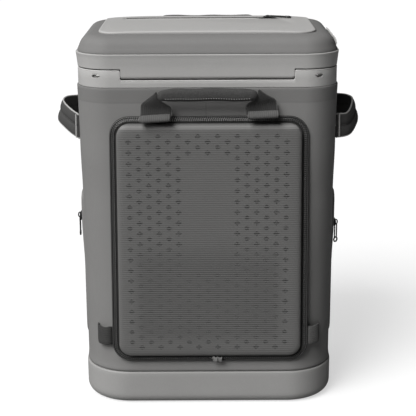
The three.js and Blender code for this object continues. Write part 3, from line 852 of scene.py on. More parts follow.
NOTCH_FLOOR = RING_TOP - 12.8
NOTCH_BACK = 9.0
NOTCH_ROUND = 3.0
CHEEK_ROUND = 1.4
LOWER_WALL = 20.0
LOWER_CHAMFER = 2.1
LID_WALL = 13.0
TAPER = 0.9
LID_GAP = 1.2
LID_RIM = 172.2
# Radius of the pale bead that carries the painted highlight along the notch's chamfer
HIGHLIGHT_BEAD = 0.55


def ring_shape(stations, section_at):
    rings = []
    for x, y, out_x, out_y in stations:
        rings.append([(x - out_x * inward, y - out_y * inward, z) for inward, z in section_at(x, y)])
    shape = Shape()
    shape.skin(rings, closed=True)
    return shape


def inside_front(x, y, half):
    """How far a place on the front lies inside an opening of some half width"""
    return half - abs(x) if y < -HALF_DEPTH + 3 else -100.0


def notch_rise(x, y):
    """Height of the notch's edge over its floor: none inside it, and the whole ring beside it"""
    inside = inside_front(x, y, NOTCH_HALF)
    top = RING_TOP - NOTCH_FLOOR
    if inside <= -CHEEK_ROUND:
        return top
    if inside < 0:
        return top - CHEEK_ROUND + math.sqrt(max(CHEEK_ROUND ** 2 - (inside + CHEEK_ROUND) ** 2, 0))
    fall = max(NOTCH_ROUND - inside, 0.0)
    return NOTCH_ROUND - math.sqrt(max(NOTCH_ROUND ** 2 - fall ** 2, 0))


def tongue_share(x, y):
    """0 beside the tongue, 1 along it, with rounded lower corners"""
    inside = inside_front(x, y, TONGUE_HALF)
    if inside <= 0:
        return 0.0
    fall = max(NOTCH_ROUND - inside, 0.0)
    drop = RING_TOP + LID_GAP - HINGE_Z + KNUCKLE
    return 1.0 - (NOTCH_ROUND - math.sqrt(NOTCH_ROUND ** 2 - fall ** 2)) / drop


def corner_marks(half, outer):
    """Places across the front where stations crowd, round both ends of an opening"""
    marks = [-outer * share for share in (1.0, 0.75, 0.5, 0.25, 0.08)]
    marks += [NOTCH_ROUND * share for share in (0.0, 0.04, 0.15, 0.3, 0.5, 0.75, 1.0)]
    places = [half - mark for mark in marks]
    return [-place for place in places] + places


def lower_ring_section(x, y):
    low, top = RING_LOW[2], RING_TOP
    floor = NOTCH_FLOOR + notch_rise(x, y)
    return [
        (0.6, low), (0.0, low + 0.6), (0.0, mix(low, floor, 0.5)), (0.0, floor - LOWER_CHAMFER),
        (LOWER_CHAMFER * 0.3, floor - LOWER_CHAMFER * 0.3), (LOWER_CHAMFER, floor), (NOTCH_BACK - 0.8, floor),
        (NOTCH_BACK, floor + min(0.8, top - floor)), (NOTCH_BACK, max(top - 0.6, floor + 0.1)),
        (NOTCH_BACK + 0.6, top), (LOWER_WALL - 0.8, top), (LOWER_WALL, top - 0.8), (LOWER_WALL, low),
    ]


LID_EDGE_ROWS = table("inward rise", (0.0, 1.2), (0.12, 0.65), (0.45, 0.2), (1.1, 0.0), (2.4, 0.0),
                      (3.8, 0.0), (5.2, 0.0), (6.4, 0.0), (7.3, 0.0))


def lid_ring_section(x, y):
    """The lid ring's section: its lower edge, or where the tongue is, the knuckle round the hinge"""
    low, top = RING_TOP + LID_GAP, LID_TOP
    deep = tongue_share(x, y)
    centre = HINGE_Y + HALF_DEPTH - TAPER
    flare = HALF_WIDTH - TAPER - LID_RIM
    section = [(flare + 1.0, top), (flare + 0.25, top - 0.4), (flare, top - 1.1), (flare + 0.3, top - 2.0)]
    for share in (0.33, 0.66, 1.0):
        section.append((mix(flare + 0.3, 0.0, share), mix(top - 2.0, low + 1.6, share)))
    bottom = HINGE_Z - KNUCKLE - 0.3
    for step, row in enumerate(LID_EDGE_ROWS):
        angle = math.pi * (1 + step / 8)
        round_in = max(centre + KNUCKLE * math.cos(angle), 0.0)
        round_z = max(HINGE_Z + (KNUCKLE + 0.3) * math.sin(angle), bottom + row["rise"])
        section.append((mix(row["inward"], round_in, deep), mix(low + row["rise"], round_z, deep)))
    return section + [(centre + KNUCKLE, low), (LID_WALL - 0.6, low), (LID_WALL, low + 0.6), (LID_WALL, top)]


SLOT_X = 145.0
SLOT_Z = RING_TOP - 8.2
SLOT_HALF_WIDTH = 4.6
SLOT_HALF_HEIGHT = 2.2
SLOT_DEPTH = 3.8
SLOT_TILT = 0.12


def slot_cutter():
    """Two short oval bars that cut the pin slots into the front corners"""
    shape = Shape()
    turn = math.asin((SLOT_X - (HALF_WIDTH - RING_CORNER)) / RING_CORNER)
    for side, _ in SIDES:
        out = Vector((side * math.sin(turn), -math.cos(turn), 0))
        aside = Vector((math.cos(turn), side * math.sin(turn), 0))
        centre = Vector((side * (HALF_WIDTH - RING_CORNER), -HALF_DEPTH + RING_CORNER, SLOT_Z))
        face = centre + out * (RING_CORNER - 1.0)
        rings = []
        for reach in (-SLOT_DEPTH, 6.0):
            ring = []
            for across, rise in circle(20):
                up = SLOT_HALF_HEIGHT * rise + SLOT_TILT * side * across * SLOT_HALF_WIDTH
                ring.append(face + out * reach + aside * SLOT_HALF_WIDTH * across + UP * up)
            rings.append(ring)
        shape.skin(rings)
    return shape


def make_rings():
    steps = {"corner_steps": 18, "side_steps": 20}
    marks = corner_marks(NOTCH_HALF, CHEEK_ROUND)
    stations = rounded_path(RING_HIGH[0], -RING_LOW[1], RING_CORNER - 1, front_marks=marks, **steps)
    shape = ring_shape(stations, lower_ring_section)
    lower = make_piece("mouth_ring", shape, [RING_PLASTIC], "ring_plastic", "lower_frame", sharp_angle=42)
    carve(lower, slot_cutter(), 0.6)
    # A pale bead along the notch's chamfer edge, coloured as a painted highlight
    edge = Shape()
    line = []
    for x, y, out_x, out_y in stations:
        line.append((x - out_x * HIGHLIGHT_BEAD, y - out_y * HIGHLIGHT_BEAD, NOTCH_FLOOR + notch_rise(x, y) - 0.6))
    edge.sweep(line, HIGHLIGHT_BEAD, sides=6, closed=True)
    make_piece("mouth_ring_highlight_bead", edge, [RING_HIGHLIGHT], "ring_plastic")
    marks = corner_marks(TONGUE_HALF, 0.3)
    halves = (HALF_WIDTH - TAPER, HALF_DEPTH - TAPER)
    stations = rounded_path(*halves, RING_CORNER - TAPER, front_marks=marks, **steps)
    shape = ring_shape(stations, lid_ring_section)
    make_piece("lid_ring", shape, [RING_PLASTIC], "ring_plastic", "lid_frame", body="lid", sharp_angle=42)


# Lid

DOME_ROWS = table("height inset", (0.0, -0.05), (0.12, -0.03), (0.3, 0.04), (0.56, 0.13),
                  (0.78, 0.28), (0.93, 0.54), (1.0, 1.0))
DOME_BASE = LID_TOP + 0.3
DOME_EDGE = 2.4
DOME_ROUND = 26.0
DOME_PLUG = 13.3


def dome_profile():
    """Smooth line through the dome's table, as inset and height"""
    rise = DOME_HIGH[2] - DOME_BASE
    chosen = []
    for row in DOME_ROWS:
        chosen.append((DOME_EDGE + row["inset"] * DOME_ROUND, 0.0, DOME_BASE + row["height"] * rise))
    chosen.append((DOME_EDGE + DOME_ROUND * 1.5, 0.0, DOME_HIGH[2] + 0.15))
    return [(point.x, point.z) for point in smooth_line(chosen, 5)]


def make_dome():
    low = DOME_LOW[2]
    rows = [(low, DOME_PLUG + 2), (low + 0.8, DOME_PLUG + 0.4)]
    rows += [(low + 2.5, DOME_PLUG), (DOME_BASE, DOME_PLUG)]
    rows += [(DOME_BASE, DOME_EDGE + 0.8)] + [(z + 0.4, inset) for inset, z in dome_profile()]
    rings = [plan(z, inset, RING_CORNER) for z, inset in rows]
    rings += [plan(DOME_HIGH[2] + 0.2, inset, RING_CORNER + 20) for inset in (56, 78, 96)]
    shape = Shape()
    shape.skin(rings)
    dome = make_piece("lid_dome_pad", shape, [DOME_CLOTH], "padded_fabric", "lid_dome", body="lid",
                      sharp_angle=50)


PLATE_CORNER = 26.0
PLATE_WIDER = 1.2
PLATE_OVERHANG = 1.5
PLATE_ROWS = table("height inset", (0.3, 0.0), (0.7, 0.25), (0.9, 0.9), (0.98, 1.8), (1.0, 3.0),
                   (0.97, 4.6), (0.97, 7.0), (0.97, 12.0), (0.97, 18.0), (0.97, 22.0))
GROOVE_HALF = 4.6


def plate_top(x, y):
    """Height of the plate's face: crowned, and thinner towards its corners"""
    side = abs(x) / PLATE_HIGH[0]
    depthwise = abs(y) / PLATE_HIGH[1]
    return PLATE_HIGH[2] + 0.6 - 2.0 * (side * depthwise) ** 5 - 0.9 * side ** 4 - 0.6 * depthwise ** 6


def plate_ring(height, inset, lowered=0.0):
    """The plate's outline at a share of its height"""
    half_x = PLATE_HIGH[0] + PLATE_WIDER - inset
    half_y = PLATE_HIGH[1] + PLATE_OVERHANG - inset
    path = outline(half_x, half_y, PLATE_CORNER - inset, corner_steps=12, side_steps=26)
    ring = [(x, y - PLATE_OVERHANG) for x, y in path]
    return [(x, y, mix(PLATE_LOW[2], plate_top(x, y), height) - lowered) for x, y in ring]


def make_plate():
    rings = [plate_ring(0.0, 0.6, lowered=1.0)]
    rings += [plate_ring(row["height"], row["inset"]) for row in PLATE_ROWS]
    shape = Shape()
    shape.skin(rings)
    plate = make_piece("lid_plate", shape, [PLATE], "lid_plate", "lid_panel", body="lid", sharp_angle=40)
    middle, half, low, high = node_span("lid_zip")
    groove = Shape()
    path = outline(half[0] + FIT, GROOVE_HALF, GROOVE_HALF - 0.1, side_steps=4)
    levels = (low[2] - 0.3, PLATE_HIGH[2] + 8)
    groove.skin([[(x + middle[0], y + middle[1], z) for x, y in path] for z in levels])
    carve(plate, groove, 0.5)
    shape = Shape()
    tape = outline(half[0], GROOVE_HALF - 0.4, GROOVE_HALF - 0.5, side_steps=4)
    shape.skin([[(x + middle[0], y + middle[1], z) for x, y in tape] for z in (low[2], low[2] + 0.9)])
    y = middle[1]
    line = [Vector((x, y, plate_top(x, y) + 0.1)) for x in spread(low[0] + 4, high[0] - 4, 30)]
    for place, _ in walk(line, 2.0):
        for side, _ in SIDES:
            shape.capsule(place + Vector((0, side * 1.5, -0.2)), (0.35 * side, 1, 0), 3.0, 0.85, finish=1)
    shape.sweep([place - UP * 1.2 for place in line], 1.7, flat=0.7, finish=1)
    make_piece("lid_zip_track", shape, [ZIP_TAPE, DARK_TEETH], "zip_coil", "lid_zip", body="lid")
    bead = Shape()
    reach = spread(low[0] - 1, high[0] - 26, 40)
    line = []
    for x in reach:
        sunk = 0.8 * (1 - smooth(min(x - reach[0], reach[-1] - x) / 8))
        line.append((x, y - 6.6, plate_top(x, y - 7) - 0.9 - sunk))
    bead.sweep(line, 1.7, sides=10, flat=0.7)
    make_piece("lid_zip_bead", bead, [PLATE], "lid_plate", body="lid")


# Sliders and pulls: an arched slider body, and a pull of two rails with a ring at its end

SLIDER_LENGTH = 15.0
SLIDER_WIDTH = 9.0


def slider_shape(place, along, out, height):
    """Slider with its nose along one direction, standing out from a face"""
    place, along, out = Vector(place), Vector(along), Vector(out)
    aside = out.cross(along)
    shape = Shape()
    for low, high, grow in ((0.0, 1.2, 1.0), (height - 1.3, height, 0.9)):
        rings = []
        for share, inset in ((0.0, 0.7), (0.3, 0.0), (0.7, 0.0), (1.0, 0.7)):
            half_x, half_y = SLIDER_LENGTH / 2 * grow - inset, SLIDER_WIDTH / 2 * grow - inset
            path = outline(half_x, half_y, 3.0, corner_steps=5, side_steps=2)
            foot = place + out * mix(low, high, share)
            rings.append([foot + along * x + aside * y * (1 - 0.22 * x / SLIDER_LENGTH) for x, y in path])
        shape.skin(rings)
    bridge = []
    for turn in spread(0, math.pi, 8):
        bridge.append(place - along * 4.2 * math.cos(turn) + out * (height - 0.8 + 1.6 * math.sin(turn)))
    shape.sweep(bridge, 0.9)
    shape.sweep([place - along * 4 + out * 0.8, place + along * 4 + out * 0.8], 1.6)
    return shape


def pull_shape(start, along, aside, length, width, wire=0.95):
    """Two rails that run side by side and join at a ring"""
    start, along, aside = Vector(start), Vector(along).normalized(), Vector(aside).normalized()
    flat = along.cross(aside)
    radius = width / 2
    shape = Shape()
    loop = []
    for turn in spread(math.pi / 2, math.pi * 1.5, 8):
        reach = along * radius * 0.6 * (1 + math.cos(turn))
        loop.append(start + reach + aside * math.sin(turn) * radius * 0.62)
    for side, shares in ((-1, (0.4, 1.0)), (1, (1.0, 0.4))):
        for share in shares:
            loop.append(start + along * mix(radius, length - width, share) + aside * side * radius * 0.62)
    shape.sweep(loop, wire, closed=True, flat_axis=flat)
    centre = start + along * (length - radius)
    ring = [centre + (along * x + aside * y) * radius for x, y in circle(16)]
    shape.sweep(ring, wire * 1.15, closed=True, flat_axis=flat)
    return shape


def make_lid_slider():
    middle, _, low, _ = node_span("lid_zip_slider")
    slider = slider_shape((middle[0], middle[1], low[2] - 0.6), RIGHT, UP, 3.0)
    make_piece("lid_slider", slider, [DARK_METAL], "dark_metal", "lid_zip_slider", body="lid")
    reach = node_box("lid_zip_pull")[1][0] - middle[0] - 1.5
    start = (middle[0] + 1.5, middle[1], low[2] + 2.6)
    pull = pull_shape(start, (1, 0, -0.05), BACK, reach, 8.2, wire=1.05)
    make_piece("lid_pull", pull, [DARK_METAL], "dark_metal", "lid_zip_pull", body="lid")


def make_side_tab():
    """Pale ribbed webbing along the right slope of the lid"""
    low, high = node_box("lid_side_tab")
    lean = Vector((-1.6, 0, 9)).normalized()
    face = Vector((1, 0, 0.18))
    stations = []
    for y in spread(low[1], high[1], 40):
        foot = Vector((high[0] - 1.4, y, low[2] + 0.3)) + face * 0.25 * math.sin(y / 3.2 * math.tau)
        stations.append((foot, foot + lean * 9, face, 0.3))
    shape = Shape()
    shape.ribbon(stations, 2.0, across=6)
    make_piece("lid_side_strip", shape, [PALE_WEBBING], "pale_webbing", "lid_side_tab", body="lid")


# Front pocket: sewn on slightly to the right, and a little narrower at the top

POCKET_SHIFT = 1.9
POCKET_WIDTH_TOP = 0.988
POCKET_WIDTH_BOTTOM = 1.009
POCKET_FRONT_ROWS = table("out inset", (-3.1, 0.8), (-2.0, 1.9), (-1.1, 3.6), (-0.45, 6.0), (-0.1, 9.5),
                          (0.1, 14.0), (0.25, 22.0), (0.35, 40.0), (0.4, 70.0), (0.4, 105.0))
POCKET_INNER_ROWS = table("out inset", (-3.4, 70.0), (-3.4, 12.0), (-4.2, 4.5), (-6.0, 3.0))


def pocket_x(x, z):
    share = (z - FACE_LOW[2]) / (FACE_TOP - FACE_LOW[2])
    return POCKET_SHIFT + x * mix(POCKET_WIDTH_BOTTOM, POCKET_WIDTH_TOP, share)


def pocket_ring(y, inset, corner):
    middle = (FACE_LOW[2] + FACE_TOP) / 2
    half_z = (FACE_TOP - FACE_LOW[2]) / 2
    path = upright(FACE_HIGH[0] - inset, half_z - inset, corner, middle, corner_steps=12, side_steps=22)
    return [(pocket_x(x, z), y, z) for x, z in path]


def make_pocket():
    """Wall and face in one shell: up the inside from the middle of the face, then round the outside"""
    back, front = POCKET_BACK, FACE_LOW[1]
    inside = [(front - row["out"], row["inset"]) for row in POCKET_INNER_ROWS] + [(back, 3.0)]
    outside = [(back, 0.4), (back - 0.6, 0.0), (mix(back, front, 0.35), 0.0), (mix(back, front, 0.6), 0.15)]
    outside += [(front - row["out"], row["inset"]) for row in POCKET_FRONT_ROWS]
    rings = [pocket_ring(y, inset, max(POCKET_CORNER - inset, 2.0)) for y, inset in inside]
    rings += [pocket_ring(y, inset, max(POCKET_CORNER - inset * 0.55, 3.0)) for y, inset in outside]
    shape = Shape()
    shape.skin(rings)
    make_piece("pocket_shell", shape, [POCKET_FACE], "moulded_panel", "front_pocket", "pocket_gusset",
               sharp_angle=60)


ZIP_BAND = 9.0
ZIP_THICK = 2.6
TOOTH_PITCH = 2.75
ZIP_ROWS = table("inset sunk", (0.0, 0.9), (0.5, 0.3), (1.4, 0.1), (2.0, 0.4), (2.2, 1.5), (2.9, 1.5),
                 (3.1, 0.6), (4.6, 0.5), (6.2, 0.6), (6.5, 1.6), (7.6, 1.6), (7.8, 0.6),
                  (ZIP_BAND - 0.3, 0.6))


def zip_path(inset, y):
    middle = (ZIP_LOW[2] + ZIP_TOP) / 2
    half_z = (ZIP_TOP - ZIP_LOW[2]) / 2 - inset
    corner = POCKET_CORNER + ZIP_BAND - inset
    path = upright(ZIP_HIGH[0] - inset, half_z, corner, middle, corner_steps=14, side_steps=30)
    return [Vector((pocket_x(x, z), y, z)) for x, z in path]


def make_pocket_zip():
    """Tape round the pocket with a stitched outer edge, dark grooves and two rows of slanted teeth"""
    back = ZIP_HIGH[1]
    front = back - ZIP_THICK
    sections = [(0.0, back)] + [(row["inset"], front + row["sunk"]) for row in ZIP_ROWS] + [(ZIP_BAND, back)]
    shape = Shape()
    shape.skin(list(zip(*[zip_path(inset, y) for inset, y in sections])), closed=True)
    for inset, lean in ((3.6, 0.9), (5.6, -0.9)):
        for place, along in walk(zip_path(inset, front + 0.1), TOOTH_PITCH, closed=True):
            shape.capsule(place, along.cross(BACK) + along * lean, 2.5, 0.58, finish=1)
    shape.stitches(zip_path(1.2, front + 0.05), TOOTH_PITCH, 1.7, 0.4, finish=1, closed=True)
    for inset in (2.55, 7.05):
        shape.sweep(zip_path(inset, front + 1.5), 0.45, sides=5, closed=True, flat_axis=BACK, finish=2)
    make_piece("pocket_zip_band", shape, [ZIP_TAPE, TOP_LIT_ZIP_TEETH, DARK_TEETH], "zip_coil", "pocket_zip")


def make_zip_end():
    """Crumpled end of the tape, tucked in at the middle of the lower edge"""
    low, high = node_box("pocket_zip_end")
    stations = []
    for share in spread(0, 1, 14):
        x = mix(low[0] + 5, high[0] + 6.5, share)
        crumple = 0.9 * math.sin(share * 9.0) + 0.5 * math.sin(share * 21.0)
        top = high[2] - 0.4 + 0.9 * math.sin(share * 13.0)
        bottom = low[2] - 0.4 + 1.0 * math.sin(share * 11.0 + 1)
        y = low[1] - 0.3 + crumple * 0.6
        upper = (x + 0.8 * math.sin(share * 7), y - 0.3, top)
        stations.append(((x, y + 0.4, bottom), upper, (0, -1, 0.3), 0.6))
    shape = Shape()
    shape.ribbon(stations, 1.2, across=6)
    make_piece("pocket_zip_tail", shape, [PALE_PIPING], "webbing", "pocket_zip_end")


# Haul handles

GRIP_HALF = 63.5
REAR_GRIP_HALF = 67.0
REAR_SEAT = 119.8
REAR_LEG_X = 69.5
WEBBING_HALF = 19.25


def grip_pinch(share, end_height=0.76):
    return mix(end_height, 1.0, smooth((1 - abs(share)) / 0.3))


def grip_lift(share, arch):
    return arch * (1 - share * share) - 0.4 * arch + 0.3 * math.sin(share * 8 + 0.6)


def make_grip(name, node, half_x, arch, end_height):
    """A padded wrap with squared sides, pinched towards its ends"""
    middle, half, _, _ = node_span(node)
    half_y, half_z = half[1] - 0.8, half[2] - 0.6
    rings = []
    for share in spread(-1, 1, 44):
        end = min(1.0, (1 - abs(share)) * 9 + 0.45)
        ring = []
        for across, rise in circle(20):
            square = 1.0 / max(abs(across) ** 3 + abs(rise) ** 3, 0.2) ** (1 / 3)
            y = middle[1] + across * half_y * square * end ** 0.5
            z = middle[2] + rise * half_z * square * grip_pinch(share, end_height) * end ** 0.4
            ring.append((share * half_x, y, z + grip_lift(share, arch)))
        rings.append(ring)
    shape = Shape()
    shape.skin(rings)
    piece = make_piece(name, shape, [GRIP], "padded_fabric", node, sharp_angle=70)
    puff(piece, 2.5, 0.9, 3.0)
    return middle, half_y, half_z


def make_front_handle():
    arch = 1.2
    middle, half_y, half_z = make_grip("front_grip", "front_handle_grip", GRIP_HALF, arch, 0.76)
    line = []
    for share in spread(-0.86, 0.86, 40):
        z = middle[2] - half_z * 0.5 * grip_pinch(share) + grip_lift(share, arch)
        line.append((share * GRIP_HALF, middle[1] - half_y * 0.97 - 0.4, z))
    thread = Shape()
    thread.stitches(line, 3.2, 1.9, 0.55)
    make_piece("front_grip_stitches", thread, [THREAD], "padded_fabric")
    for side, name in SIDES:
        make_front_leg(side, name)


# The fold of webbing on the zip, then the leg that rises from behind it to the grip's end:
# distances of both edges out from the middle, depth, and drops of both edges below the body's top
LEG_COLUMNS = "outer inner y outer_drop inner_drop"
FOLD_ROWS = table(LEG_COLUMNS, (85.8, 48.8, -132.2, 32.3, 32.3), (86.0, 48.8, -134.8, 32.9, 32.9),
                  (86.2, 48.8, -138.2, 36.7, 36.7), (86.0, 48.8, -138.0, 39.6, 39.6),
                  (85.4, 48.8, -134.8, 40.6, 40.6), (85.0, 48.6, -131.0, 39.5, 39.5),
                  (86.4, 47.2, -128.8, 36.5, 36.5))
LEG_ROWS = table(LEG_COLUMNS, (86.4, 47.2, -128.8, 36.5, 36.5), (85.4, 45.6, -128.0, 30.5, 31.0),
                 (85.0, 45.8, -127.8, 25.0, 26.0), (84.8, 48.2, -128.4, 20.5, 22.8),
                 (83.6, 52.0, -129.8, 16.6, 20.0), (79.6, 57.4, -131.8, 13.4, 16.4),
                 (73.6, 61.8, -134.0, 8.8, 12.2), (68.6, 64.2, -135.8, 5.0, 8.0),
                 (65.6, 64.4, -136.6, 1.6, 3.0))
# How each leg differs from the tables: further out, raised low and high, and tilted
LEG_SHIFTS = {"left": (0.0, 0.0, 0.0, 1.2), "right": (3.6, 4.6, 2.8, -0.7)}
LEG_CENTRE = 67.8
SEWN_Y = -119.9


def make_front_leg(side, name):
    """Webbing sewn to the collar, folded over on the zip and drawn up to the grip's end"""
    further, low_lift, high_lift, tilt = LEG_SHIFTS[name]

    def edge_line(rows, key, sign):
        chosen = []
        for row in rows:
            drop = row[key + "_drop"]
            level = smooth((drop - 2) / 28)
            z = BODY_TOP - drop + mix(high_lift, low_lift, level) + sign * tilt * level
            chosen.append((side * (row[key] + further * level), row["y"], z))
        return smooth_line(chosen, 5)

    leg = Shape()
    # The fold is drawn in the lighter webbing copy, painted as if lit from above; the leg rising behind it
    # keeps the darker webbing
    for rows, finish, bulge in ((FOLD_ROWS, 1, 0.0), (LEG_ROWS, 0, 1.8)):
        outer = edge_line(rows, "outer", -1)
        inner = edge_line(rows, "inner", 1)
        last = len(outer) - 1
        stations = []
        for number, (edge, other) in enumerate(zip(outer, inner)):
            ahead, behind = min(number + 1, last), max(number - 1, 0)
            along = outer[ahead] + inner[ahead] - outer[behind] - inner[behind]
            swell = -bulge * math.sin(math.pi * (number / last))
            stations.append((edge, other, (other - edge).cross(along) * side, swell))
        leg.ribbon(stations, 1.9, across=14, finish=finish)
        # Rods along both edges, in the lighter copy as a painted highlight
        for line in (outer, inner):
            leg.sweep(line, 0.85, sides=6, finish=1)
    centre = side * (LEG_CENTRE + further)
    top = BODY_TOP - 24 + low_lift
    sewn = [(centre, SEWN_Y, top), (centre, SEWN_Y, top - 8)]
    sewn += [(centre, -122.5, top - 14), (centre, -130.8, top - 16.5)]
    leg.strip(smooth_line(sewn), 36, 2.0)
    node = f"front_handle_webbing_{name}"
    make_piece(f"front_leg_{name}", leg, [WEBBING, LIT_WEBBING], "webbing", node, sharp_angle=60)


def make_rear_handle():
    make_grip("rear_grip", "rear_handle_grip", REAR_GRIP_HALF, 0.0, 0.97)
    for side, name in SIDES:
        node = f"rear_handle_webbing_{name}"
        foot = node_box(node)[0][2]
        rises = ((REAR_SEAT, -16), (REAR_SEAT + 0.2, -2), (123.8, 24), (127.6, 44), (128, 61))
        line = smooth_line([(0, REAR_SEAT, foot)] + [(0, y, BODY_TOP + rise) for y, rise in rises])
        stations = []
        for place in line:
            share = smooth((place.z - BODY_TOP - 14) / 44)
            middle = place + RIGHT * side * REAR_LEG_X
            edge = middle + RIGHT * side * mix(WEBBING_HALF, -1.6, share)
            other = middle - RIGHT * side * mix(WEBBING_HALF, 8.0, share)
            stations.append((edge, other, BACK, 0.8 * share))
        shape = Shape()
        shape.ribbon(stations, 2.0, across=10)
        make_piece(f"rear_leg_{name}", shape, [WEBBING], "webbing", node, sharp_angle=60)


# Side handles: padded bands with piping on both edges and a sewn seam along the middle.
# Shares of the handle's half span, distances out from the body and shares of the arch's rise.
SIDE_HANDLE_ROWS = {
    "left": table("y out rise", (-1.0, 0.5, 0.0), (-0.93, 1.2, 0.0), (-0.8, 9.0, 0.2), (-0.6, 17.5, 0.5),
                  (-0.3, 28.5, 0.9), (0.0, 32.6, 1.0), (0.3, 28.5, 1.0), (0.6, 16.5, 0.6), (0.85, 5.0, 0.3),
                  (1.0, 1.6, 0.25)),
    "right": table("y out rise", (-1.0, 0.5, 0.0), (-0.94, 2.4, -0.05), (-0.9, 14.0, -0.05),
                   (-0.76, 20.5, 0.1), (-0.5, 27.0, 0.55), (-0.15, 32.6, 0.95), (0.15, 32.6, 1.0),
                   (0.45, 25.0, 0.9), (0.7, 12.5, 0.5), (0.88, 4.4, 0.3), (1.0, 1.6, 0.25)),
}
SIDE_HANDLE_FOOT = BODY_TOP - 58.0
SIDE_HANDLE_RISE = 10.8
SIDE_FOOT_X = 170.9


def side_handle_axes(line, side):
    """Outward and upward directions of the band at each place of its line"""
    axes = []
    for place, along in zip(line, directions(line)):
        out = along.cross(UP) * side
        out.z = 0
        out.normalize()
        lean = max(min(abs(place.x) - SIDE_FOOT_X, 30) / 30, 0)
        axes.append((out, (UP - RIGHT * side * 0.27 * lean).normalized()))
    return axes


def make_side_handle(side, name):
    node = f"side_handle_{name}"
    reach = node_box(node)[1][1]
    chosen = []
    for row in SIDE_HANDLE_ROWS[name]:
        y = row["y"] * reach
        z = SIDE_HANDLE_FOOT + SIDE_HANDLE_RISE * row["rise"]
        chosen.append((side * (side_face(y, z) + row["out"]), y, z))
    line = smooth_line(chosen, 7)
    axes = side_handle_axes(line, side)
    rings = []
    cloth = []
    edges = ([], [])
    travelled = 0.0
    before = line[0]
    for place, (out, up) in zip(line, axes):
        travelled += (place - before).length
        before = place
        half = mix(15.6, 13.8, smooth(abs(abs(place.x) - 172) / 26))
        profile = []
        for share in spread(-1, 1, 16):
            lobe = math.sqrt(max(1 - ((abs(share) - 0.52) / 0.5) ** 2, 0.0))
            profile.append((share * half, 0.5 + 2.1 * lobe))
        ring = [place + up * rise + out * plump for rise, plump in profile]
        ring += [place + up * rise - out * min(plump, 1.6) * 0.8 for rise, plump in profile[::-1]]
        rings.append(ring)
        cloth += [((point - ring[0]).length, travelled) for point in ring]
        for edge, sign in zip(edges, (1, -1)):
            edge.append(place + up * half * sign + out * 0.3)
    shape = Shape()
    shape.skin(rings, cloth=cloth)
    for edge in edges:
        shape.sweep(edge, 1.2, finish=1)
    shape.sweep([place + out * 0.9 for place, (out, up) in zip(line, axes)], 0.8, sides=6)
    for end in (3, len(line) - 4):
        out, up = axes[end]
        for step in (-2.0, 3.0):
            bar = [line[end] + up * rise + out * step for rise in spread(-15.6, 15.6, 8)]
            shape.sweep(bar, 1.2, finish=1)
    piece = make_piece(f"side_grip_{name}", shape, [PAD, PIPING], "webbing", node, sharp_angle=60)


# Side pockets

POUCH_ROWS = table("rise inset", (-0.2, -0.5), (0.5, 0.0), (1.1, 1.2), (1.6, 4.0), (1.9, 8.0),
                   (2.0, 16.0), (2.0, 34.0))


def nearest_face(low, high):
    """How far out from the middle a side piece begins"""
    return min(abs(low[0]), abs(high[0]))


def make_side_pocket(side, name):
    node = f"side_pocket_{name}"
    centre, half, low, high = node_span(node)
    rings = []
    for row in POUCH_ROWS:
        inset = row["inset"]
        path = upright(high[1] - inset, half[2] - inset, max(12 - inset * 0.4, 3), centre[2], side_steps=16)
        ring = []
        for y, z in path:
            gape = 2.4 * smooth(inset / 2 + 0.4) * smooth((z - centre[2]) / half[2] * 1.4 + 0.1)
            ring.append((side * (nearest_face(low, high) + row["rise"] + max(gape, 0.0)), y, z))
        rings.append(ring)
    shape = Shape()
    shape.skin(rings)
    make_piece(f"side_pouch_{name}", shape, [SHELL], "fabric_shell", node, sharp_angle=60)
    make_side_zip(side, name)


def make_side_zip(side, name):
    centre, half, low, high = node_span(f"side_zip_{name}")
    inner = nearest_face(low, high)
    y = centre[1]
    rings = []
    for rise, inset in ((-0.2, 0.0), (0.5, 0.0), (0.8, 0.5)):
        path = upright(half[1] - inset, half[2] - inset, 2.5, centre[2], side_steps=6)
        rings.append([(side * (inner + rise), across + y, z) for across, z in path])
    shape = Shape()
    shape.skin(rings)
    x = side * (inner + 1.1)
    for lane in (-1, 1):
        for place, _ in walk([(x, y + lane * 1.3, low[2] + 3), (x, y + lane * 1.3, high[2] - 3)], 2.1):
            shape.capsule(place, (0, 1, 0.4 * lane), 2.4, 0.55, finish=1)
        edge = [(x - side * 0.4, y + lane * 4.6, z) for z in (low[2] + 2, high[2] - 2)]
        shape.stitches(edge, 3.2, 2.2, 0.35, finish=1)
    make_piece(f"side_zip_track_{name}", shape, [ZIP_TAPE, DARK_TEETH], "zip_coil", f"side_zip_{name}")
    node = f"side_zip_slider_{name}"
    centre, half, low, high = node_span(node)
    place = Vector((side * nearest_face(low, high), y, centre[2]))
    slider = slider_shape(place, (0, 0, -1), (side, 0, 0), 3.6)
    hub = place + Vector((side * 4.4, 0, 1))
    eye = [hub + Vector((x * 2.4, 0, z * 3.6)) for x, z in circle(14)]
    slider.sweep(eye, 0.9, closed=True, flat_axis=BACK)
    make_piece(f"side_slider_{name}", slider, [DARK_METAL], "dark_metal", node)
    node = f"side_zip_pull_{name}"
    start = place + Vector((side * 4.6, 0, -2))
    aside = (0, 1, 0) if side < 0 else (0.75, 0.66, 0)
    reach = centre[2] - 2 - node_box(node)[0][2] - 8.0
    pull = pull_shape(start, (0, 0, -1), aside, reach, 6.4)
    make_piece(f"side_pull_{name}", pull, [DARK_METAL], "dark_metal", node)


# Lash loops: a short webbing tunnel on each front corner

LASH_ROWS = table("across rise", (-13.5, 0.4), (-11.0, 0.9), (-9.8, 5.0), (-5.0, 7.4), (5.0, 7.4), (9.8, 5.0),
                  (11.0, 0.9), (13.5, 0.4))
LASH_TURN = math.radians(30)


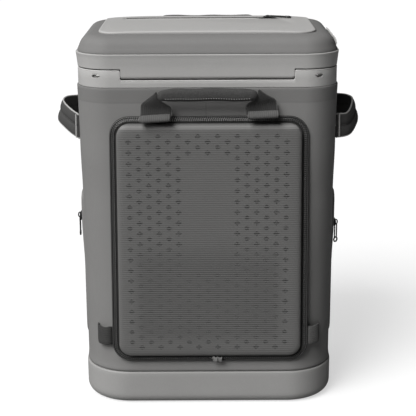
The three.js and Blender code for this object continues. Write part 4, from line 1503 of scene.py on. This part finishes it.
def make_lash_loop(side, name):
    node = f"lash_loop_{name}"
    middle, half, _, _ = node_span(node)
    z = middle[2] - 1.8
    corner = body_corner(z)
    radius = corner - body_inset(z)
    centre = Vector((side * (HALF_WIDTH - corner), -HALF_DEPTH + corner, z))
    out = Vector((side * math.sin(LASH_TURN), -math.cos(LASH_TURN), 0))
    aside = Vector((side * math.cos(LASH_TURN), math.sin(LASH_TURN), 0))
    chosen = []
    for row in LASH_ROWS:
        sag = radius - math.sqrt(radius ** 2 - row["across"] ** 2)
        chosen.append(centre + aside * row["across"] + out * (radius + row["rise"] + 0.9 - sag))
    line = smooth_line(chosen, 6)
    stations = []
    for number, (place, along) in enumerate(zip(line, directions(line))):
        wobble = 0.5 * math.sin(number * 0.5)
        stations.append((place + UP * (half[2] - wobble), place - UP * (half[2] - 0.3), along.cross(UP), 0.0))
    shape = Shape()
    shape.ribbon(stations, 1.8, across=10)
    # The right loop takes the lighter webbing copy: painted light, as both loops are the same webbing
    look = LIT_WEBBING if side > 0 else WEBBING
    make_piece(f"lash_webbing_{name}", shape, [look], "webbing", node, sharp_angle=60)


# Shoulder straps, on the far side from the pocket

STRAP_X = 74.0
STRAP_SEAT = 5.2
STRAP_REACH = 29.0
STRAP_WEB = 25


def make_strap(side, name):
    node = f"shoulder_strap_{name}"
    low, high = node_box(node)
    centre = side * STRAP_X
    seat, top, length = low[1] + STRAP_SEAT, high[2], high[2] - low[2]
    shares = ((0.0, 0.0), (0.1, 0.08), (0.7, 0.32), (1.0, 0.62))
    chosen = [(0, seat + STRAP_REACH * out, top - length * drop) for out, drop in shares]
    chosen.append((0, seat + STRAP_REACH * 0.92, low[2] + 2))
    line = smooth_line(chosen, 10)
    faces = [RIGHT.cross(along) for along in directions(line)]
    rings = []
    edges = ([], [])
    for number, (place, face) in enumerate(zip(line, faces)):
        share = number / (len(line) - 1)
        half = mix(30.0, 27.0, smooth(share)) * (0.62 + 0.38 * smooth((1 - share) / 0.12))
        thick = 4.2 * (0.4 + 0.6 * smooth(min(share, 1 - share) / 0.08))
        ring = []
        for x, y in circle(28):
            across = math.copysign(abs(x) ** 0.45, x) * half
            rise = math.copysign(abs(y) ** 0.7, y) * thick
            ring.append(place + RIGHT * (centre + across) + face * rise)
        rings.append(ring)
        for edge, sign in zip(edges, (1, -1)):
            edge.append(place + RIGHT * (centre + sign * (half - 0.2)))
    shape = Shape()
    shape.skin(rings)
    pad = make_piece(f"strap_pad_{name}", shape, [PAD], "padded_fabric", node, sharp_angle=70)
    puff(pad, 3.0, 1.3, 4.5)
    trim = Shape()
    for edge in edges:
        trim.sweep(edge[1:-1], 1.5)
    make_piece(f"strap_piping_{name}", trim, [PIPING], "padded_fabric")
    upper = []
    for place, face in zip(line[3:], faces[3:]):
        upper.append(place + RIGHT * centre + face * math.copysign(6.2, face.y))
    web = Shape()
    web.strip(upper, STRAP_WEB, 1.4)
    for lane in (-10.5, 10.5):
        web.stitches([place + Vector((lane, 0.9, 0)) for place in upper], 3.4, 2.2, 0.35, finish=1)
    make_piece(f"strap_overlay_{name}", web, [WEBBING, THREAD], "webbing", sharp_angle=60)
    make_buckle(name)
    make_tail(side, name)


def make_buckle(name):
    """Ladder-lock: a frame with two bars that the webbing passes round"""
    node = f"strap_buckle_{name}"
    centre, (half_x, _, half_z), _, _ = node_span(node)
    middle = Vector(centre)
    shape = Shape()
    path = outline(half_x - 2.6, half_z - 2.4, 3.0, corner_steps=5, side_steps=3)
    shape.sweep([middle + Vector((x, 0, z)) for x, z in path], 2.4, sides=10, closed=True, flat_axis=BACK)
    for height in (-0.28, 0.3):
        bar = [middle + Vector((x, 0.4, height * half_z * 2)) for x in (-half_x + 2.6, half_x - 2.6)]
        shape.sweep(bar, 1.7, sides=10)
    lip = []
    for x in spread(-half_x + 4, half_x - 4, 8):
        lip.append(middle + Vector((x, 1.8 + 0.7 * (1 - (x / half_x) ** 2), -half_z + 1.6)))
    shape.sweep(lip, 1.6)
    make_piece(f"strap_lock_{name}", shape, [DARK_PLASTIC], "dark_plastic", node)


def make_tail(side, name):
    node = f"strap_webbing_{name}"
    low, high = node_box(node)
    centre = side * STRAP_X
    seat, end_y = low[1] + 1.2, high[1] - 1.4
    top, foot, rise = high[2], low[2], high[2] - low[2]
    chosen = [(end_y, top + 8), (end_y - 2.4, top - rise * 0.2), (seat + 4.6, foot + rise * 0.42)]
    chosen += [(seat, foot + rise * 0.26), (seat, foot)]
    shape = Shape()
    shape.strip(smooth_line([(centre, y, z) for y, z in chosen], 10), STRAP_WEB, 1.6)
    corners = [(centre + x, seat + 1.0, foot + z) for x, z in ((-10, 3), (10, 3), (-10, 14), (10, 14))]
    for start, end in ((0, 1), (2, 3), (0, 2), (1, 3)):
        shape.stitches([corners[start], corners[end]], 2.6, 1.9, 0.4, finish=1)
    make_piece(f"strap_tail_{name}", shape, [WEBBING, THREAD], "webbing", node, sharp_angle=60)


def finish_pins():
    """The hinge pins keep their solids and get a turned steel finish"""
    for _, name in SIDES:
        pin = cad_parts[f"hinge_pin_{name}"]
        if not pin.material_slots:
            pin.data.materials.append(STEEL.material)
        for place in pin.material_slots:
            place.material = STEEL.material


# Studio: pale floor, soft light from the left, and the camera at the photograph's angle. Metres here

KEY_FROM = (-0.6, -0.8, 1.0)
KEY_STRENGTH = 3.45
KEY_SOFTNESS = math.radians(34)
OVERHEAD_FROM = (-0.5, -0.6, 2.3)
OVERHEAD_TO = (0, -0.1, 0.45)
OVERHEAD_SIZE = 0.9
OVERHEAD_POWER = 8
WORLD_LEFT = 0.68
WORLD_RIGHT = 0.02
FLOOR_REACH = 14.0
FLOOR_SEEN = 0.42
FLOOR_GLOW = 0.6
FLOOR_BOUNCE = 0.22
CAMERA_PLACE = (0.0, -1.641, 0.6978)
CAMERA_TILT = math.radians(74.645)
CAMERA_ROLL = math.radians(-0.26)
CAMERA_LENS = 103.85


def camera_ray(tree):
    """1 where the camera sees the surface itself, 0 where only light reaches it"""
    return Value(tree, tree.nodes.new("ShaderNodeLightPath").outputs["Is Camera Ray"])


def plain(level):
    return (level, level, level, 1.0)


def make_floor():
    mesh = bpy.data.meshes.new("studio_floor")
    corners = [(x * FLOOR_REACH, y * FLOOR_REACH, 0) for x, y in ((-1, -1), (1, -1), (1, 1), (-1, 1))]
    mesh.from_pydata(corners, [], [(0, 1, 2, 3)])
    look = Look("studio_floor", 0, 0.9, 0.0)
    look.shader.inputs["Base Color"].default_value = plain(FLOOR_BOUNCE)
    seen = camera_ray(look.tree)
    look.blend("MIX", seen, plain(FLOOR_SEEN))
    plug(look.tree, look.shader.inputs["Emission Color"], seen * FLOOR_GLOW)
    look.shader.inputs["Emission Strength"].default_value = 1.0
    mesh.materials.append(look.material)
    floor = place_object("studio_floor", mesh)
    floor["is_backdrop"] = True


def make_world():
    """Bright on the left, dark on the right, and plain white where the camera looks past the bag"""
    world = bpy.data.worlds.new("studio")
    world.use_nodes = True
    bpy.context.scene.world = world
    tree = world.node_tree
    x, _, _ = split(tree, tree.nodes.new("ShaderNodeTexCoord"), "Generated")
    seen = camera_ray(tree)
    around = fade(x, 0.3, -0.9, WORLD_RIGHT, WORLD_LEFT) * (1.0 - seen)
    background = tree.nodes["Background"]
    plug(tree, background.inputs["Strength"], around + seen)
    background.inputs["Color"].default_value = plain(1.0)


def make_lamp(name, kind, place, target, power):
    light = bpy.data.lights.new(name, kind)
    light.energy = power
    lamp = place_object(name, light)
    lamp.location = place
    lamp.rotation_euler = (Vector(target) - Vector(place)).to_track_quat("-Z", "Y").to_euler()
    return light


def make_lights():
    key = make_lamp("key", "SUN", KEY_FROM, (0, 0, 0), KEY_STRENGTH)
    key.angle = KEY_SOFTNESS
    overhead = make_lamp("overhead", "AREA", OVERHEAD_FROM, OVERHEAD_TO, OVERHEAD_POWER)
    overhead.shape = "DISK"
    overhead.size = OVERHEAD_SIZE


def make_camera():
    data = bpy.data.cameras.new("camera")
    data.sensor_width = 36
    data.lens = CAMERA_LENS
    camera = place_object("camera", data)
    turn = Matrix.Rotation(CAMERA_TILT, 4, "X") @ Matrix.Rotation(CAMERA_ROLL, 4, "Z")
    camera.matrix_world = Matrix.Translation(CAMERA_PLACE) @ turn
    bpy.context.scene.camera = camera
    bpy.context.scene.view_settings.view_transform = "Standard"


def write_size():
    sizes = {"cad": cad_box, "visual": [list(corner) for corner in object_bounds()]}


make_base()
make_body()
make_rings()
make_dome()
make_plate()
make_lid_slider()
make_side_tab()
make_pocket()
make_pocket_zip()
make_zip_end()
make_front_handle()
make_rear_handle()
for side_sign, side_name in SIDES:
    make_side_handle(side_sign, side_name)
    make_side_pocket(side_sign, side_name)
    make_lash_loop(side_sign, side_name)
    make_strap(side_sign, side_name)
finish_pins()
make_floor()
make_world()
make_lights()
make_camera()
write_size()
